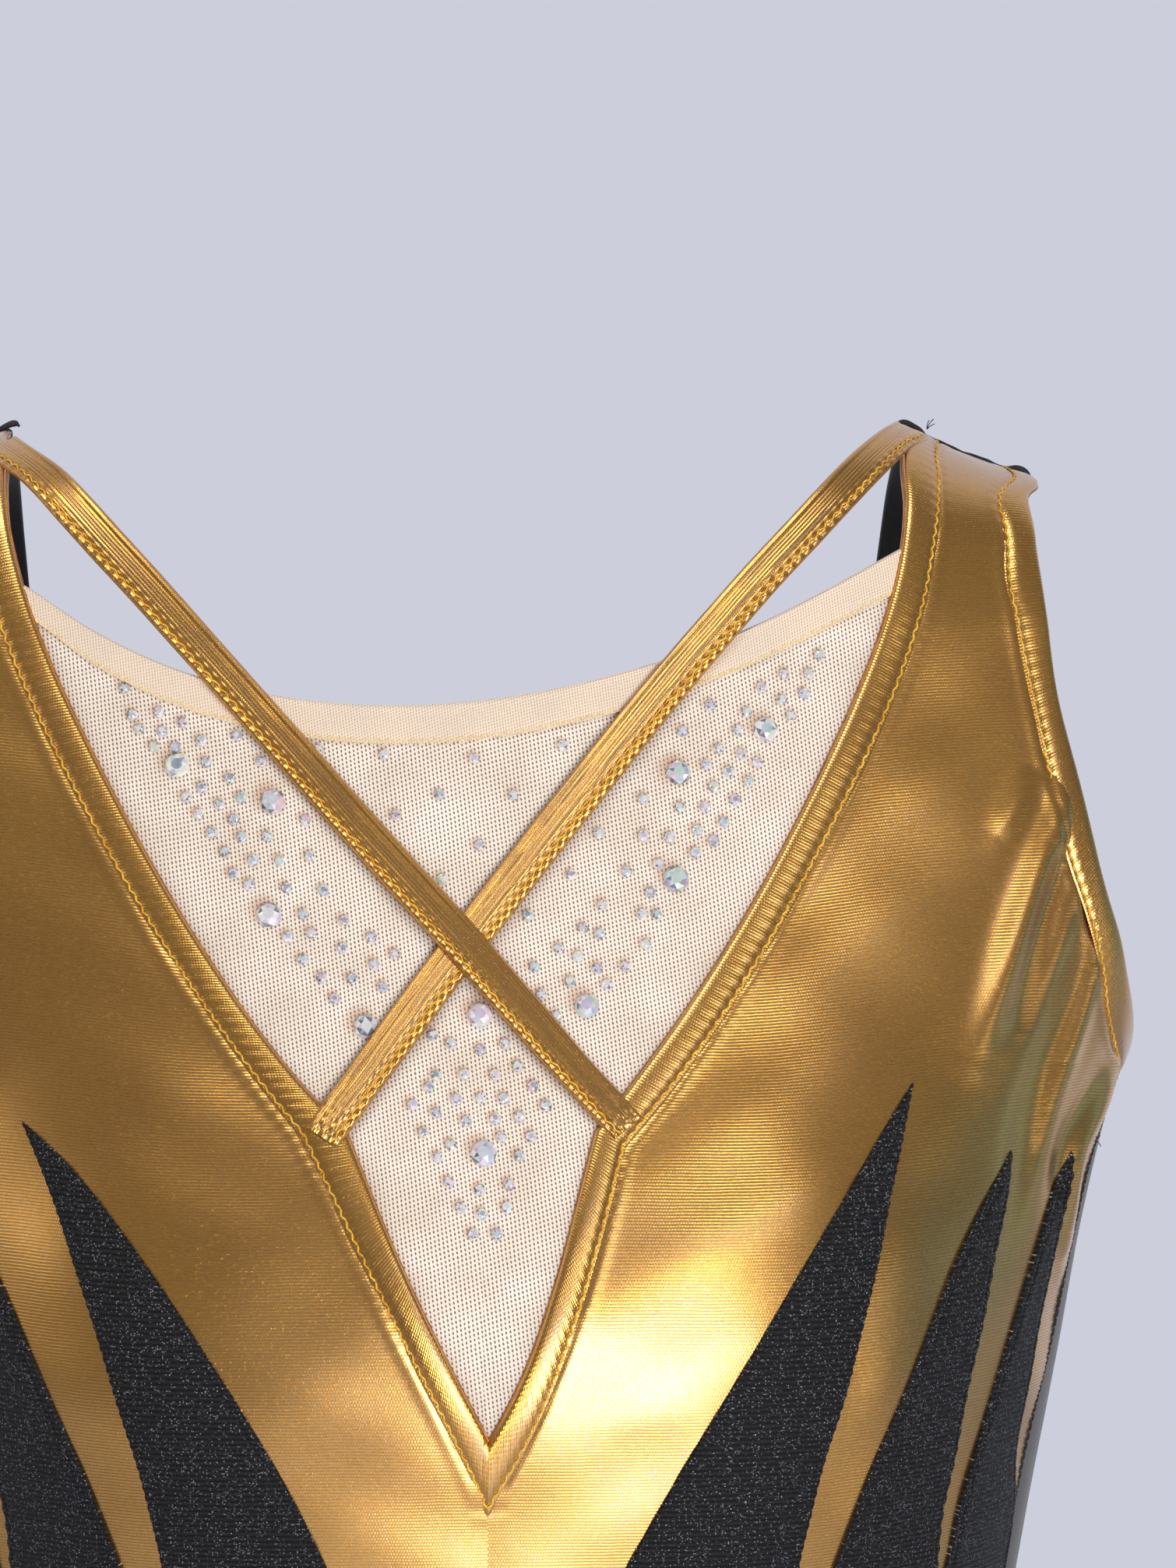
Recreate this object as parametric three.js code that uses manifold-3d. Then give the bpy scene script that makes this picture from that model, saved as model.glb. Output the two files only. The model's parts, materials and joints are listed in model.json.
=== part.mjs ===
// Sleeveless competition leotard (cheer uniform), adult small.
// A stretch garment that takes the shape of the wearer: gold foil front with a deep V,
// nude net inset, two crossed chest straps, black flame appliques, black back and lower body.
// Millimetres, +Z up. The garment faces -Y; the viewer's right is +X.
// Origin: midway between the two shoulder crests, where the garment hangs from.
// Every cloth layer is a thin closed shell taken at its own distance from one body form,
// all on the same grid, so that stacked layers lie parallel and never cross.
import * as THREE from 'three';
import { mergeVertices } from 'three/addons/utils/BufferGeometryUtils.js';
import Module from 'manifold-3d';

const wasm = await Module();
wasm.setup();

// ---------------------------------------------------------------- driving dimensions
const HEIGHT_BOTTOM = -655;          // crotch
const N_AROUND = 32;                 // facets round the body
const SEAM_GAP = 0.2;                // half of the gap between panels that meet at a seam
const LAYER = {                      // distance of each layer from the body form
  lining: [0.0, 0.5], net: [0.9, 1.3], hem: [1.7, 2.2], shell: [1.7, 2.2],
  under: [2.55, 2.85], applique: [2.55, 3.05], band: [3.2, 3.8], gusset: [-1.0, -0.5],
};
const STRAP_WIDTH = 8.6, STRAP_THICK = 0.6, STRAP_BASE = 3.1, STRAP_STEP = 1.3;
const STONE_R = 2.9;
const BACK_SCOOP = -165;             // lowest point of the back neckline
const GOLD_POINT = -318;             // where the gold centre front runs out between the flames

// ---------------------------------------------------------------- body form
const FORM = [ // z, half width, front depth, back depth, squareness
  [24, 54, 40, 46, 2.1], [0, 111, 50, 55, 2.15], [-20, 160, 54, 62, 2.2], [-40, 177, 59, 70, 2.25],
  [-73, 175, 70, 84, 2.3], [-103, 166, 79, 91, 2.35], [-133, 152, 88, 94, 2.35], [-173, 141, 97, 93, 2.35],
  [-208, 134.5, 101, 89, 2.3], [-243, 128, 101, 82, 2.25], [-295, 120, 95, 72, 2.2], [-345, 115, 88, 65, 2.2],
  [-400, 123, 88, 72, 2.2], [-450, 138, 94, 90, 2.25], [-500, 151, 97, 108, 2.3], [-545, 157, 94, 116, 2.3],
  [-585, 153, 84, 110, 2.3], [-615, 135, 69, 92, 2.25], [-638, 102, 48, 64, 2.2], [-650, 63, 28, 38, 2.1],
  [HEIGHT_BOTTOM, 0, 0, 0, 2.0],
].reverse();
const Z = FORM.map((r) => r[0]);
function monotone(col) {
  const v = FORM.map((r) => r[col]), n = Z.length, m = new Array(n).fill(0);
  const h = [], d = [];
  for (let i = 0; i < n - 1; i++) { h.push(Z[i + 1] - Z[i]); d.push((v[i + 1] - v[i]) / h[i]); }
  m[0] = d[0]; m[n - 1] = d[n - 2];
  for (let i = 1; i < n - 1; i++) {
    if (d[i - 1] * d[i] <= 0) m[i] = 0;
    else {
      const w1 = 2 * h[i] + h[i - 1], w2 = h[i] + 2 * h[i - 1];
      m[i] = (w1 + w2) / (w1 / d[i - 1] + w2 / d[i]);
    }
  }
  return (z) => {
    z = Math.min(Math.max(z, Z[0]), Z[n - 1]);
    let i = 0;
    while (i < n - 2 && z >= Z[i + 1]) i++;
    const s = (z - Z[i]) / h[i], s2 = s * s, s3 = s2 * s;
    return v[i] * (2 * s3 - 3 * s2 + 1) + m[i] * h[i] * (s3 - 2 * s2 + s)
      + v[i + 1] * (-2 * s3 + 3 * s2) + m[i + 1] * h[i] * (s3 - s2);
  };
}
const [halfWidth, frontDepth, backDepth, square] = [1, 2, 3, 4].map(monotone);
const bell = (u, s) => Math.exp(-u * u / (2 * s * s));
// theta 0 faces -Y, +90 degrees is +X
function radius(th, z) {
  const s = Math.abs(Math.sin(th)), c = Math.cos(th), n = square(z);
  const D = c >= 0 ? frontDepth(z) : backDepth(z);
  let r = Math.pow(Math.pow(s / Math.max(halfWidth(z), 1e-9), n) + Math.pow(Math.abs(c) / Math.max(D, 1e-9), n), -1 / n);
  const x = r * s, f = Math.max(c, 0), b = Math.max(-c, 0);
  r += 13 * Math.pow(f, 0.7) * bell(x - 66, 30) * bell(z + 186, 40);      // bust
  r += 5 * b * bell(x - 70, 32) * bell(z + 120, 42);                     // shoulder blades
  r -= 5 * b * bell(x, 16) * bell(z + 290, 120);                         // hollow of the spine
  r += 9 * b * bell(x - 62, 36) * bell(z + 545, 45);                     // seat
  return r;
}
const at = (th, z) => { const r = radius(th, z); return new THREE.Vector3(r * Math.sin(th), -r * Math.cos(th), z); };
function normal(th, z) {
  const e = 1e-3, zt = Math.min(z + 0.5, Z[Z.length - 1]), zb = Math.max(z - 0.5, Z[0]);
  const a = at(th + e, z).sub(at(th - e, z)), b = at(th, zt).sub(at(th, zb));
  return a.cross(b).normalize();
}
const off = (th, z, d) => at(th, z).addScaledVector(normal(th, z), d);
const deg = (a) => a * Math.PI / 180;

// ---------------------------------------------------------------- solids
function solid(positions, tris) {
  let g = new THREE.BufferGeometry();
  g.setAttribute('position', new THREE.Float32BufferAttribute(positions.flat ? positions.flat() : positions, 3));
  g.setIndex(tris.flat());
  return fromGeometry(g);
}
function fromGeometry(g) {
  g = g.clone();
  g.deleteAttribute('normal'); g.deleteAttribute('uv');
  g = mergeVertices(g, 1e-4);
  const m = new wasm.Manifold(new wasm.Mesh({
    numProp: 3, vertProperties: new Float32Array(g.attributes.position.array),
    triVerts: new Uint32Array(g.index.array),
  }));
  return m.volume() < 0 ? flip(g) : m;
}
function flip(g) {
  const t = new Uint32Array(g.index.array);
  for (let i = 0; i < t.length; i += 3) { const k = t[i]; t[i] = t[i + 1]; t[i + 1] = k; }
  return new wasm.Manifold(new wasm.Mesh({
    numProp: 3, vertProperties: new Float32Array(g.attributes.position.array), triVerts: t,
  }));
}
const ROWS = [24, 8, -6, -22, -46, -76, -108, -140, -173, -208, -250, -300, -352, -405, -460, -512, -558, -598, -628, -646];
function bodySolid(d) { // the form grown by d, closed over the top and at the bottom
  const P = [], T = [], n = N_AROUND, R = ROWS.length;
  for (const z of ROWS) for (let i = 0; i < n; i++) {
    const p = off(2 * Math.PI * (i + 0.5) / n, z, d);
    P.push([p.x, p.y, p.z]);
  }
  const q = (r, i) => r * n + (i % n);
  for (let r = 0; r < R - 1; r++) for (let i = 0; i < n; i++) {
    T.push([q(r, i), q(r + 1, i), q(r, i + 1)], [q(r, i + 1), q(r + 1, i), q(r + 1, i + 1)]);
  }
  P.push([0, 0, 30 + d]); const top = P.length - 1;
  P.push([0, 0, HEIGHT_BOTTOM - d]); const bot = P.length - 1;
  for (let i = 0; i < n; i++) T.push([q(0, i), q(0, i + 1), top], [q(R - 1, i + 1), q(R - 1, i), bot]);
  return solid(P, T);
}
const cache = new Map();
function grown(d) { if (!cache.has(d)) cache.set(d, bodySolid(d)); return cache.get(d); }
const shell = ([a, b]) => grown(b).subtract(grown(a));

// prism of an outline in the XZ plane, from y0 to y1
function prismY(pts, y0, y1) {
  const s = new THREE.Shape(pts.map(([x, z]) => new THREE.Vector2(x, z)));
  const g = new THREE.ExtrudeGeometry(s, { depth: Math.abs(y1 - y0), bevelEnabled: false });
  g.rotateX(Math.PI / 2);              // shape y -> +z, depth -> -y
  g.translate(0, Math.max(y0, y1), 0);
  return fromGeometry(g);
}
// wedge of an outline given in (theta degrees, z), cut radially through every layer
function wedge(pts, s0 = 0.3, s1 = 2.4) {
  const contour = pts.map(([a, z]) => new THREE.Vector2(a, z));
  if (THREE.ShapeUtils.isClockWise(contour)) contour.reverse();
  const tri = THREE.ShapeUtils.triangulateShape(contour, []);
  const P = [], T = [], n = contour.length, rings = [s0, 0.9, 1.1, s1];
  for (const s of rings) for (const c of contour) {
    const r = radius(deg(c.x), c.y) * s;
    P.push([r * Math.sin(deg(c.x)), -r * Math.cos(deg(c.x)), c.y]);
  }
  for (const [a, b, c] of tri) { T.push([a + 3 * n, b + 3 * n, c + 3 * n]); T.push([c, b, a]); }
  for (let k = 0; k < 3; k++) for (let i = 0; i < n; i++) {
    const p = k * n + i, q = k * n + (i + 1) % n;
    T.push([p, q, p + n], [q, q + n, p + n]);
  }
  return solid(P, T);
}
// cone from a point inside the body out through a closed loop of points
function cone(apex, loop, k = 2.2) {
  const P = [[apex.x, apex.y, apex.z]], T = [], n = loop.length;
  const c = new THREE.Vector3();
  for (const p of loop) {
    const q = p.clone().sub(apex).multiplyScalar(k).add(apex);
    P.push([q.x, q.y, q.z]); c.add(q);
  }
  c.multiplyScalar(1 / n); P.push([c.x, c.y, c.z]);
  for (let i = 0; i < n; i++) { const j = (i + 1) % n; T.push([0, 1 + i, 1 + j], [n + 1, 1 + j, 1 + i]); }
  return solid(P, T);
}
const box = (x0, x1, y0, y1, z0, z1) => {
  const g = new THREE.BoxGeometry(x1 - x0, y1 - y0, z1 - z0);
  g.translate((x0 + x1) / 2, (y0 + y1) / 2, (z0 + z1) / 2);
  return fromGeometry(g);
};
const mirror = (m) => m.mirror([1, 0, 0]);

// ---------------------------------------------------------------- pattern curves
// neckline edge and its stitch line, (x, z), from the shoulder crest to the point of the V
const NECK_L = [[-102.8, 8], [-102.8, -6.1], [-101.6, -18.5], [-98, -32.2], [-92.8, -46], [-86.5, -59.6], [-79.7, -72.9], [-72.6, -85.9], [-65.1, -98.8], [-57.2, -111.2], [-48.7, -123.4], [-39.3, -135.1], [-28.8, -146.2], [-25.1, -155.3], [-17.2, -173.8], [-8.3, -192.2], [1.2, -210.3]];
const NECK_R = [[98.5, 8], [97.5, -0.9], [97.4, -12.5], [94.9, -26.6], [90.2, -41.1], [84, -55.4], [76.9, -69.4], [69.5, -83], [61.7, -96.4], [53.4, -109.4], [44.4, -122], [34.7, -134.3], [24.7, -146.5], [22, -155.6], [16.5, -174.2], [10, -192.7], [1.2, -210.3]];
const STITCH_L = [[-110.5, 8], [-109.6, -6.1], [-109.2, -18.1], [-106.1, -31.4], [-101.1, -45.1], [-94.9, -58.8], [-88, -72.2], [-80.8, -85.4], [-73.3, -98.2], [-65.3, -110.7], [-56.9, -122.9], [-48, -134.8], [-38.4, -146.5], [-32.9, -157.5], [-21.7, -179.9], [-10, -202.5], [1, -225.4]];
const STITCH_R = [[107, 8], [106.2, 2.1], [105.8, -4.5], [104.1, -17.2], [100.7, -32.8], [95.1, -48.9], [87.9, -64.5], [79.7, -79.6], [71.2, -94.4], [62.4, -108.8], [52.8, -122.7], [42.3, -136.2], [30.7, -149.3], [27.6, -160.3], [20.6, -182.5], [12, -204.5], [1, -225.4]];
// folded top edge of the net and the stitching under it
const NET_TOP = [[-110, -22], [-98.1, -29.7], [-83.9, -38.9], [-68.6, -46.4], [-52.4, -51.6], [-35.7, -54.6], [-18.5, -55.7], [-1.2, -54.9], [16, -52.5], [33.1, -48.5], [49.7, -43.3], [65.6, -36.9], [80.7, -29.5], [95.3, -21.8], [110, -14]];
const NET_HEM = [[-110, -29], [-96, -37.4], [-82.7, -47], [-68, -54.5], [-52.3, -59.7], [-35.9, -62.8], [-19.2, -64], [-2.3, -63.4], [14.6, -61.1], [31.2, -57.4], [47.4, -52.4], [63, -46.4], [77.9, -39.5], [92.6, -32.3], [110, -23]];
// chest straps, centre lines (x, z)
const STRAP_A = [[-94.1, -7], [-86.5, -14.2], [-78.7, -22.5], [-70.6, -31.3], [-62.5, -40.4], [-54.4, -49.6], [-46.2, -58.9], [-38, -68.1], [-29.8, -77.4], [-21.6, -86.7], [-13.4, -95.9], [-5.2, -105.1], [3, -114.4], [11.2, -123.6], [19.4, -132.9], [23.4, -137.5]];
const STRAP_B = [[88.5, -4.5], [80.5, -11.4], [72.3, -19.4], [63.9, -28], [55.6, -37.1], [47.3, -46.4], [39.2, -55.8], [31.1, -65.4], [23.1, -75], [15.2, -84.6], [7.4, -94.3], [-0.4, -104], [-8.1, -113.7], [-15.7, -123.5], [-23.3, -133.4], [-26.6, -137.7]];
const CROSSING = [-2.6, -106.5];
// armhole edge and stitch line, front half on the +X side, (theta, z), crest to armpit
const ARM_EDGE = [[87.9, -5.9], [77.9, -11.8], [74.2, -20.5], [71.4, -37.9], [70.2, -55.2], [69.8, -72.6], [70.2, -90], [71, -98.9], [72.5, -107.9], [74.7, -117.1], [78.5, -126], [84, -133.5]];
const ARM_STITCH = [[87.8, -3.2], [75.2, -11.7], [72.2, -20.5], [69.5, -37.8], [68.4, -56.9], [67.7, -77.6], [68, -90], [69.2, -102], [71, -114], [73.4, -125.9], [78, -136], [84, -142]];
const ARM_EDGE_END = [90, -136], ARM_STITCH_END = [90, -144.5];
// side seam between gold front and black back, (theta, z)
const SIDE_SEAM = [[90, 60], [90, -130], [87, -138], [81.5, -146], [77.5, -158], [75.5, -176], [73.5, -196], [71, -216], [70, -236], [70.5, -260], [73, -300], [76, -345], [78, -420], [82, -520], [86, -600], [90, -640], [90, -700]];
// flame tongues on the +X side, (theta, z): inner edge upwards, outer edge downwards
const TONGUES = [
  [[0.2, GOLD_POINT], [7, -281], [12.5, -257], [16.5, -238.3], [19.9, -224.5], [23.3, -210.8], [27, -197.3], [31, -184.3], [35.4, -172], [40.2, -160.2], [45.3, -148.8], [50.4, -137.7],
    [47.7, -149.9], [44.9, -162.2], [42.4, -174.7], [40.2, -187.4], [38.4, -200.4], [37, -213.6], [36.2, -226.9], [35.7, -240.3], [35.9, -262]],
  [[37.2, -270], [39.9, -241.2], [41.3, -228.9], [43, -216.9], [45.1, -205.2], [47.7, -193.8], [50.7, -182.9], [54, -172.6], [57.6, -162.8], [61.5, -154.1],
    [60.6, -164.4], [58.9, -175.4], [57.2, -186.7], [55.8, -198.2], [54.9, -209.8], [54.4, -221.6], [54.2, -233.4], [54.4, -245.2]],
  [[55.6, -256], [56.2, -245.8], [56.7, -233.6], [57.7, -221.7], [59.2, -210.1], [61.1, -198.7], [63.3, -187.6], [65.6, -176.8], [67.9, -166.1], [70.4, -155.9],
    [70.4, -167.2], [69.5, -178.4], [68.5, -189.5], [67.5, -200.7], [66.9, -212], [66.7, -223.4]],
];
const WAIST = -352;
// leg opening on the +X side: (theta, z) up to the hip, and (x, y) across the crotch
const LEG = { front: [[90, -498], [72, -515], [57, -540], [46, -566], [38, -592], [34, -615]], crotch: [[34, -47], [33, -24], [32.5, 2], [34, 30], [40, 56]], back: [[149, -615], [146, -592], [139, -566], [128, -540], [110, -512]] };
const LEG_OUT = { front: [[90, -488], [70, -505.5], [53.5, -532], [42, -561], [33.5, -589], [27.5, -614]], crotch: [[25.5, -49], [24.5, -24], [24, 2], [25.5, 30], [31, 58]], back: [[153.5, -617], [150.5, -591], [143, -561], [131.5, -532], [112, -502]] };
const STONES = [[-64.9, -68.5], [-44.1, -76.4], [-45, -100.5], [-24.3, -124], [0.6, -122.6], [0.6, -150.5], [23.5, -120], [64.1, -61.2], [44.6, -70.3], [43.5, -93.2]];

// ---------------------------------------------------------------- cutters
const flipX = (pts) => pts.map(([a, b]) => [-a, b]);
const far = 420;
// V opening, grown outwards by g
function neckCut(L, R, g = 0) {
  const l = L.map(([x, z]) => [x - g, z]), r = R.map(([x, z]) => [x + g, z]);
  l[l.length - 1][1] -= g * 1.6;
  l[l.length - 1][0] = r[r.length - 1][0] = L[L.length - 1][0];
  const ring = [[l[0][0], 60], ...l, ...r.slice(0, -1).reverse(), [r[0][0], 60]];
  return prismY(ring, -far, SEAM_GAP);
}
const neckEdge = neckCut(NECK_L, NECK_R);
const neckStitch = neckCut(STITCH_L, STITCH_R);
const BACK_IN = [[102.8, 60], [102.8, -6], [100, -45], [92, -85], [78, -118], [57, -143], [30, -159], [0, BACK_SCOOP]];
const BACK_OUT = [[110.8, 60], [110.8, -6], [108, -47], [99.5, -89], [84, -124], [61.5, -150.5], [32, -167.4], [0, BACK_SCOOP - 8.4]];
const backScoop = (pts) => prismY([...flipX(pts), ...pts.slice(0, -1).reverse()], -SEAM_GAP, far);
const backEdge = backScoop(BACK_IN), backBandEdge = backScoop(BACK_OUT);

function loopFrom(half, end, d = 2.4) {
  const f = half.map(([a, z]) => off(deg(a), z, d));
  const b = half.map(([a, z]) => off(deg(180 - a), z, d)).reverse();
  return [...f, off(deg(end[0]), end[1], d), ...b];
}
const ARM_APEX = new THREE.Vector3(62, 0, -78);
const armEdge = cone(ARM_APEX, loopFrom(ARM_EDGE, ARM_EDGE_END));
const armStitch = cone(ARM_APEX, loopFrom(ARM_STITCH, ARM_STITCH_END));
const LEG_APEX = new THREE.Vector3(45, 6, -575);
function underside(x, y) {           // point of the form's underside below (x, y)
  const th = Math.atan2(x, -y), r = Math.hypot(x, y);
  let lo = HEIGHT_BOTTOM, hi = -560;
  for (let k = 0; k < 40; k++) { const m = (lo + hi) / 2; if (radius(th, m) < r) lo = m; else hi = m; }
  return new THREE.Vector3(x, y, lo - 2.4);
}
const legLoop = (l) => [...l.front.map(([a, z]) => off(deg(a), z, 2.4)), ...l.crotch.map(([x, y]) => underside(x, y)), ...l.back.map(([a, z]) => off(deg(a), z, 2.4))];
const legEdge = cone(LEG_APEX, legLoop(LEG), 2.6);
const legStitch = cone(LEG_APEX, legLoop(LEG_OUT), 2.6);

// front and back sectors of the body, meeting at the side seams
function sector(front, gap = SEAM_GAP) {
  const P = [], T = [], dy = front ? -gap : gap, fy = front ? -far : far, n = SIDE_SEAM.length;
  for (const [a, z] of SIDE_SEAM) {
    const s = Math.sin(deg(a)) * far, c = -Math.cos(deg(a)) * far + dy;
    P.push([0, dy, z], [s, c, z], [far, fy, z], [-far, fy, z], [-s, c, z]);
  }
  for (let k = 0; k < n - 1; k++) for (let i = 0; i < 5; i++) {
    const a = k * 5 + i, b = k * 5 + (i + 1) % 5;
    T.push([a, b, a + 5], [b, b + 5, a + 5]);
  }
  const e = (n - 1) * 5;
  for (let i = 1; i < 4; i++) { T.push([0, i + 1, i]); T.push([e, e + i, e + i + 1]); }
  return solid(P, T);
}
const frontHalf = sector(true), backHalf = sector(false);
const belowWaist = prismY([[-far, -900], [far, -900], [far, WAIST - SEAM_GAP], [120, WAIST - SEAM_GAP + 10], [60, WAIST - SEAM_GAP + 3], [0, WAIST - SEAM_GAP], [-60, WAIST - SEAM_GAP + 3], [-120, WAIST - SEAM_GAP + 10], [-far, WAIST - SEAM_GAP]], -far, far);
const aboveWaist = prismY([[-far, 200], [-far, WAIST + SEAM_GAP], [-120, WAIST + SEAM_GAP + 10], [-60, WAIST + SEAM_GAP + 3], [0, WAIST + SEAM_GAP], [60, WAIST + SEAM_GAP + 3], [120, WAIST + SEAM_GAP + 10], [far, WAIST + SEAM_GAP], [far, 200]], -far, far);
const arms = (m) => m.subtract(armEdge).subtract(mirror(armEdge));
const legs = (m) => m.subtract(legEdge).subtract(mirror(legEdge));

// ---------------------------------------------------------------- parts
const group = new THREE.Group();
const FINISH = {
  gold: { color: 0xa37a26, roughness: 0.38, metalness: 0.9 },
  goldBand: { color: 0xab8230, roughness: 0.36, metalness: 0.9 },
  black: { color: 0x1c1c1f, roughness: 0.6, metalness: 0.1 },
  net: { color: 0xe6cdb4, roughness: 0.8, metalness: 0 },
  nude: { color: 0xdcb89a, roughness: 0.85, metalness: 0 },
  elastic: { color: 0xe9e4da, roughness: 0.9, metalness: 0 },
  stone: { color: 0xd9e6ea, roughness: 0.05, metalness: 0.1 },
};
const material = {};
for (const k of Object.keys(FINISH)) material[k] = new THREE.MeshStandardMaterial(FINISH[k]);
function add(name, m, mat) {
  const parts = m.decompose().sort((a, b) => b.volume() - a.volume()); // offcuts of a trim are left out
  const g = new THREE.BufferGeometry(), out = parts[0].getMesh();
  g.setAttribute('position', new THREE.BufferAttribute(new Float32Array(out.vertProperties), 3));
  g.setIndex(new THREE.BufferAttribute(new Uint32Array(out.triVerts), 1));
  g.computeVertexNormals();
  const mesh = new THREE.Mesh(g, material[mat]);
  mesh.name = name;
  group.add(mesh);
  return mesh;
}
const front = (layer) => arms(shell(layer).intersect(frontHalf));

// front panels
const shellFront = front(LAYER.shell);
add('front_bodice', shellFront.intersect(aboveWaist).subtract(neckEdge), 'gold');
add('lower_front_panel', legs(shell(LAYER.shell).intersect(frontHalf).intersect(belowWaist)), 'black');
// lining under the gold front and under the net, up to the net's hem
const aboveNet = prismY([...NET_HEM, [110, 90], [-110, 90]], -far, SEAM_GAP);
const neckAllow = neckCut(NECK_L, NECK_R, 7);
const liningTop = neckEdge.intersect(aboveNet);
add('front_lining', front(LAYER.lining).intersect(aboveWaist).subtract(liningTop), 'nude');
// net inset: fills the V from its folded top edge down, with a seam allowance under the bands
const netTopCut = prismY([...NET_TOP, [110, 90], [-110, 90]], -far, SEAM_GAP);
const allowFront = neckAllow.intersect(frontHalf);
add('mesh_inset', arms(shell(LAYER.net).intersect(allowFront)).subtract(netTopCut), 'net');
const hemInside = neckCut(NECK_L, NECK_R, -0.5).intersect(frontHalf);
add('mesh_top_hem', shell(LAYER.hem).intersect(hemInside).intersect(aboveNet).subtract(netTopCut), 'net');

// back panels, joined at the waist seam
add('back_panel', arms(shell(LAYER.shell).intersect(backHalf)).intersect(aboveWaist).subtract(backEdge), 'black');
add('lower_back_panel', legs(shell(LAYER.shell).intersect(backHalf).intersect(belowWaist)), 'black');
const backRing = (layer, inner, outer) => arms(shell(layer).intersect(backHalf).intersect(outer)).subtract(inner);
add('back_neck_band', backRing(LAYER.band, backEdge, backBandEdge).subtract(mirror(armStitch)).subtract(armStitch), 'black');
add('back_neck_elastic', backRing(LAYER.under, backScoop(BACK_IN.map(([x, z]) => [x ? x + 1.2 : 0, z - 1])), backScoop(BACK_OUT.map(([x, z]) => [x ? x - 1.2 : 0, z + 1]))), 'elastic');

// neckline bands and the elastic inside them, mitred at the point of the V
for (const side of ['left', 'right']) {
  const s = side === 'left' ? -1 : 1;
  const half = box(s < 0 ? -far : 1.1 + SEAM_GAP, s < 0 ? 1.1 - SEAM_GAP : far, -far, 0, -600, 100);
  const clip = (m) => m.intersect(frontHalf).intersect(half);
  add(`neckline_band_${side}`, clip(shell(LAYER.band).intersect(neckStitch)).subtract(neckEdge), 'goldBand');
  const inE = neckCut(NECK_L, NECK_R, 1.2), outE = neckCut(STITCH_L, STITCH_R, -1.2);
  add(`neckline_elastic_${side}`, clip(shell(LAYER.under).intersect(outE)).subtract(inE), 'elastic');
}

// armhole bands and elastics
const cutOut = neckStitch.add(backBandEdge);
for (const side of ['right', 'left']) {
  const m = side === 'left' ? mirror : (q) => q;
  const inner = m(armEdge), outer = m(armStitch);
  const ring = (layer) => shell(layer).intersect(outer).subtract(inner);
  add(`armhole_band_front_${side}`, ring(LAYER.band).intersect(frontHalf).subtract(cutOut), 'goldBand');
  add(`armhole_band_back_${side}`, ring(LAYER.band).intersect(backHalf).subtract(cutOut), 'black');
  add(`armhole_elastic_${side}`, ring(LAYER.under).subtract(box(-far, far, -far, far, -900, -400)), 'elastic');
}

// flame appliques: three tongues that join above the waist seam
for (const side of ['right', 'left']) {
  const [A, B, C] = TONGUES;
  const seam = [[66.9, -236], [67.2, -260], [70, -300], [73.4, -345], [73.4, WAIST - 25]];
  const outline = [[0.15, WAIST - 25], ...A, ...B, ...C, ...seam];
  let w = wedge(side === 'right' ? outline : flipX(outline).reverse());
  add(`flame_applique_${side}`, shell(LAYER.applique).intersect(w).intersect(aboveWaist).intersect(frontHalf), 'black');
}

// leg bands, leg elastics, crotch gusset
for (const side of ['right', 'left']) {
  const m = side === 'left' ? mirror : (q) => q;
  const ring = (layer) => shell(layer).intersect(m(legStitch)).subtract(m(legEdge));
  add(`leg_band_${side}`, ring(LAYER.band), 'black');
  add(`leg_elastic_${side}`, ring(LAYER.under), 'elastic');
}
add('crotch_gusset', legs(shell(LAYER.gusset).intersect(box(-60, 60, -60, 70, -700, -622))), 'nude');

// chest straps: flat ribbons over the net, the one from -X lies on top at the crossing
function ribbon(name, line, lift) {
  const c = new THREE.CatmullRomCurve3(line.map(([x, z]) => new THREE.Vector3(x, 0, z)));
  const N = 24, P = [], T = [], pts = [], nor = [];
  for (let i = 0; i <= N; i++) {
    const q = c.getPoint(i / N);
    let th = Math.atan2(q.x, 60);                      // find the form point with this x and z
    for (let k = 0; k < 60; k++) {
      const e = 1e-4, f = radius(th, q.z) * Math.sin(th) - q.x;
      const g = (radius(th + e, q.z) * Math.sin(th + e) - radius(th - e, q.z) * Math.sin(th - e)) / (2 * e);
      th -= 0.6 * f / Math.max(g, 5);
    }
    const u = Math.hypot(q.x - CROSSING[0], q.z - CROSSING[1]);
    pts.push(off(th, q.z, STRAP_BASE + lift * Math.exp(-u * u / (2 * 17 * 17))));
    nor.push(normal(th, q.z));
  }
  for (let i = 0; i <= N; i++) {
    const t = pts[Math.min(i + 1, N)].clone().sub(pts[Math.max(i - 1, 0)]).normalize();
    const w = t.clone().cross(nor[i]).normalize(), n = w.clone().cross(t).normalize();
    const h = STRAP_WIDTH / 2;
    for (const [a, b] of [[-h, 0], [h, 0], [h, STRAP_THICK], [-h, STRAP_THICK]]) {
      const p = pts[i].clone().addScaledVector(w, a).addScaledVector(n, b);
      P.push([p.x, p.y, p.z]);
    }
  }
  for (let k = 0; k < N; k++) for (let i = 0; i < 4; i++) {
    const a = k * 4 + i, b = k * 4 + (i + 1) % 4;
    T.push([a, b, a + 4], [b, b + 4, a + 4]);
  }
  const e = N * 4;
  T.push([0, 2, 1], [0, 3, 2], [e, e + 1, e + 2], [e, e + 2, e + 3]);
  return solid(P, T);
}
const bandsZone = shell([2.2, 5.5]).subtract(neckCut(NECK_L, NECK_R, -0.6));
add('cross_strap_right', ribbon('b', STRAP_B, 0).subtract(bandsZone), 'goldBand');
add('cross_strap_left', ribbon('a', STRAP_A, STRAP_STEP).subtract(bandsZone), 'goldBand');

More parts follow.
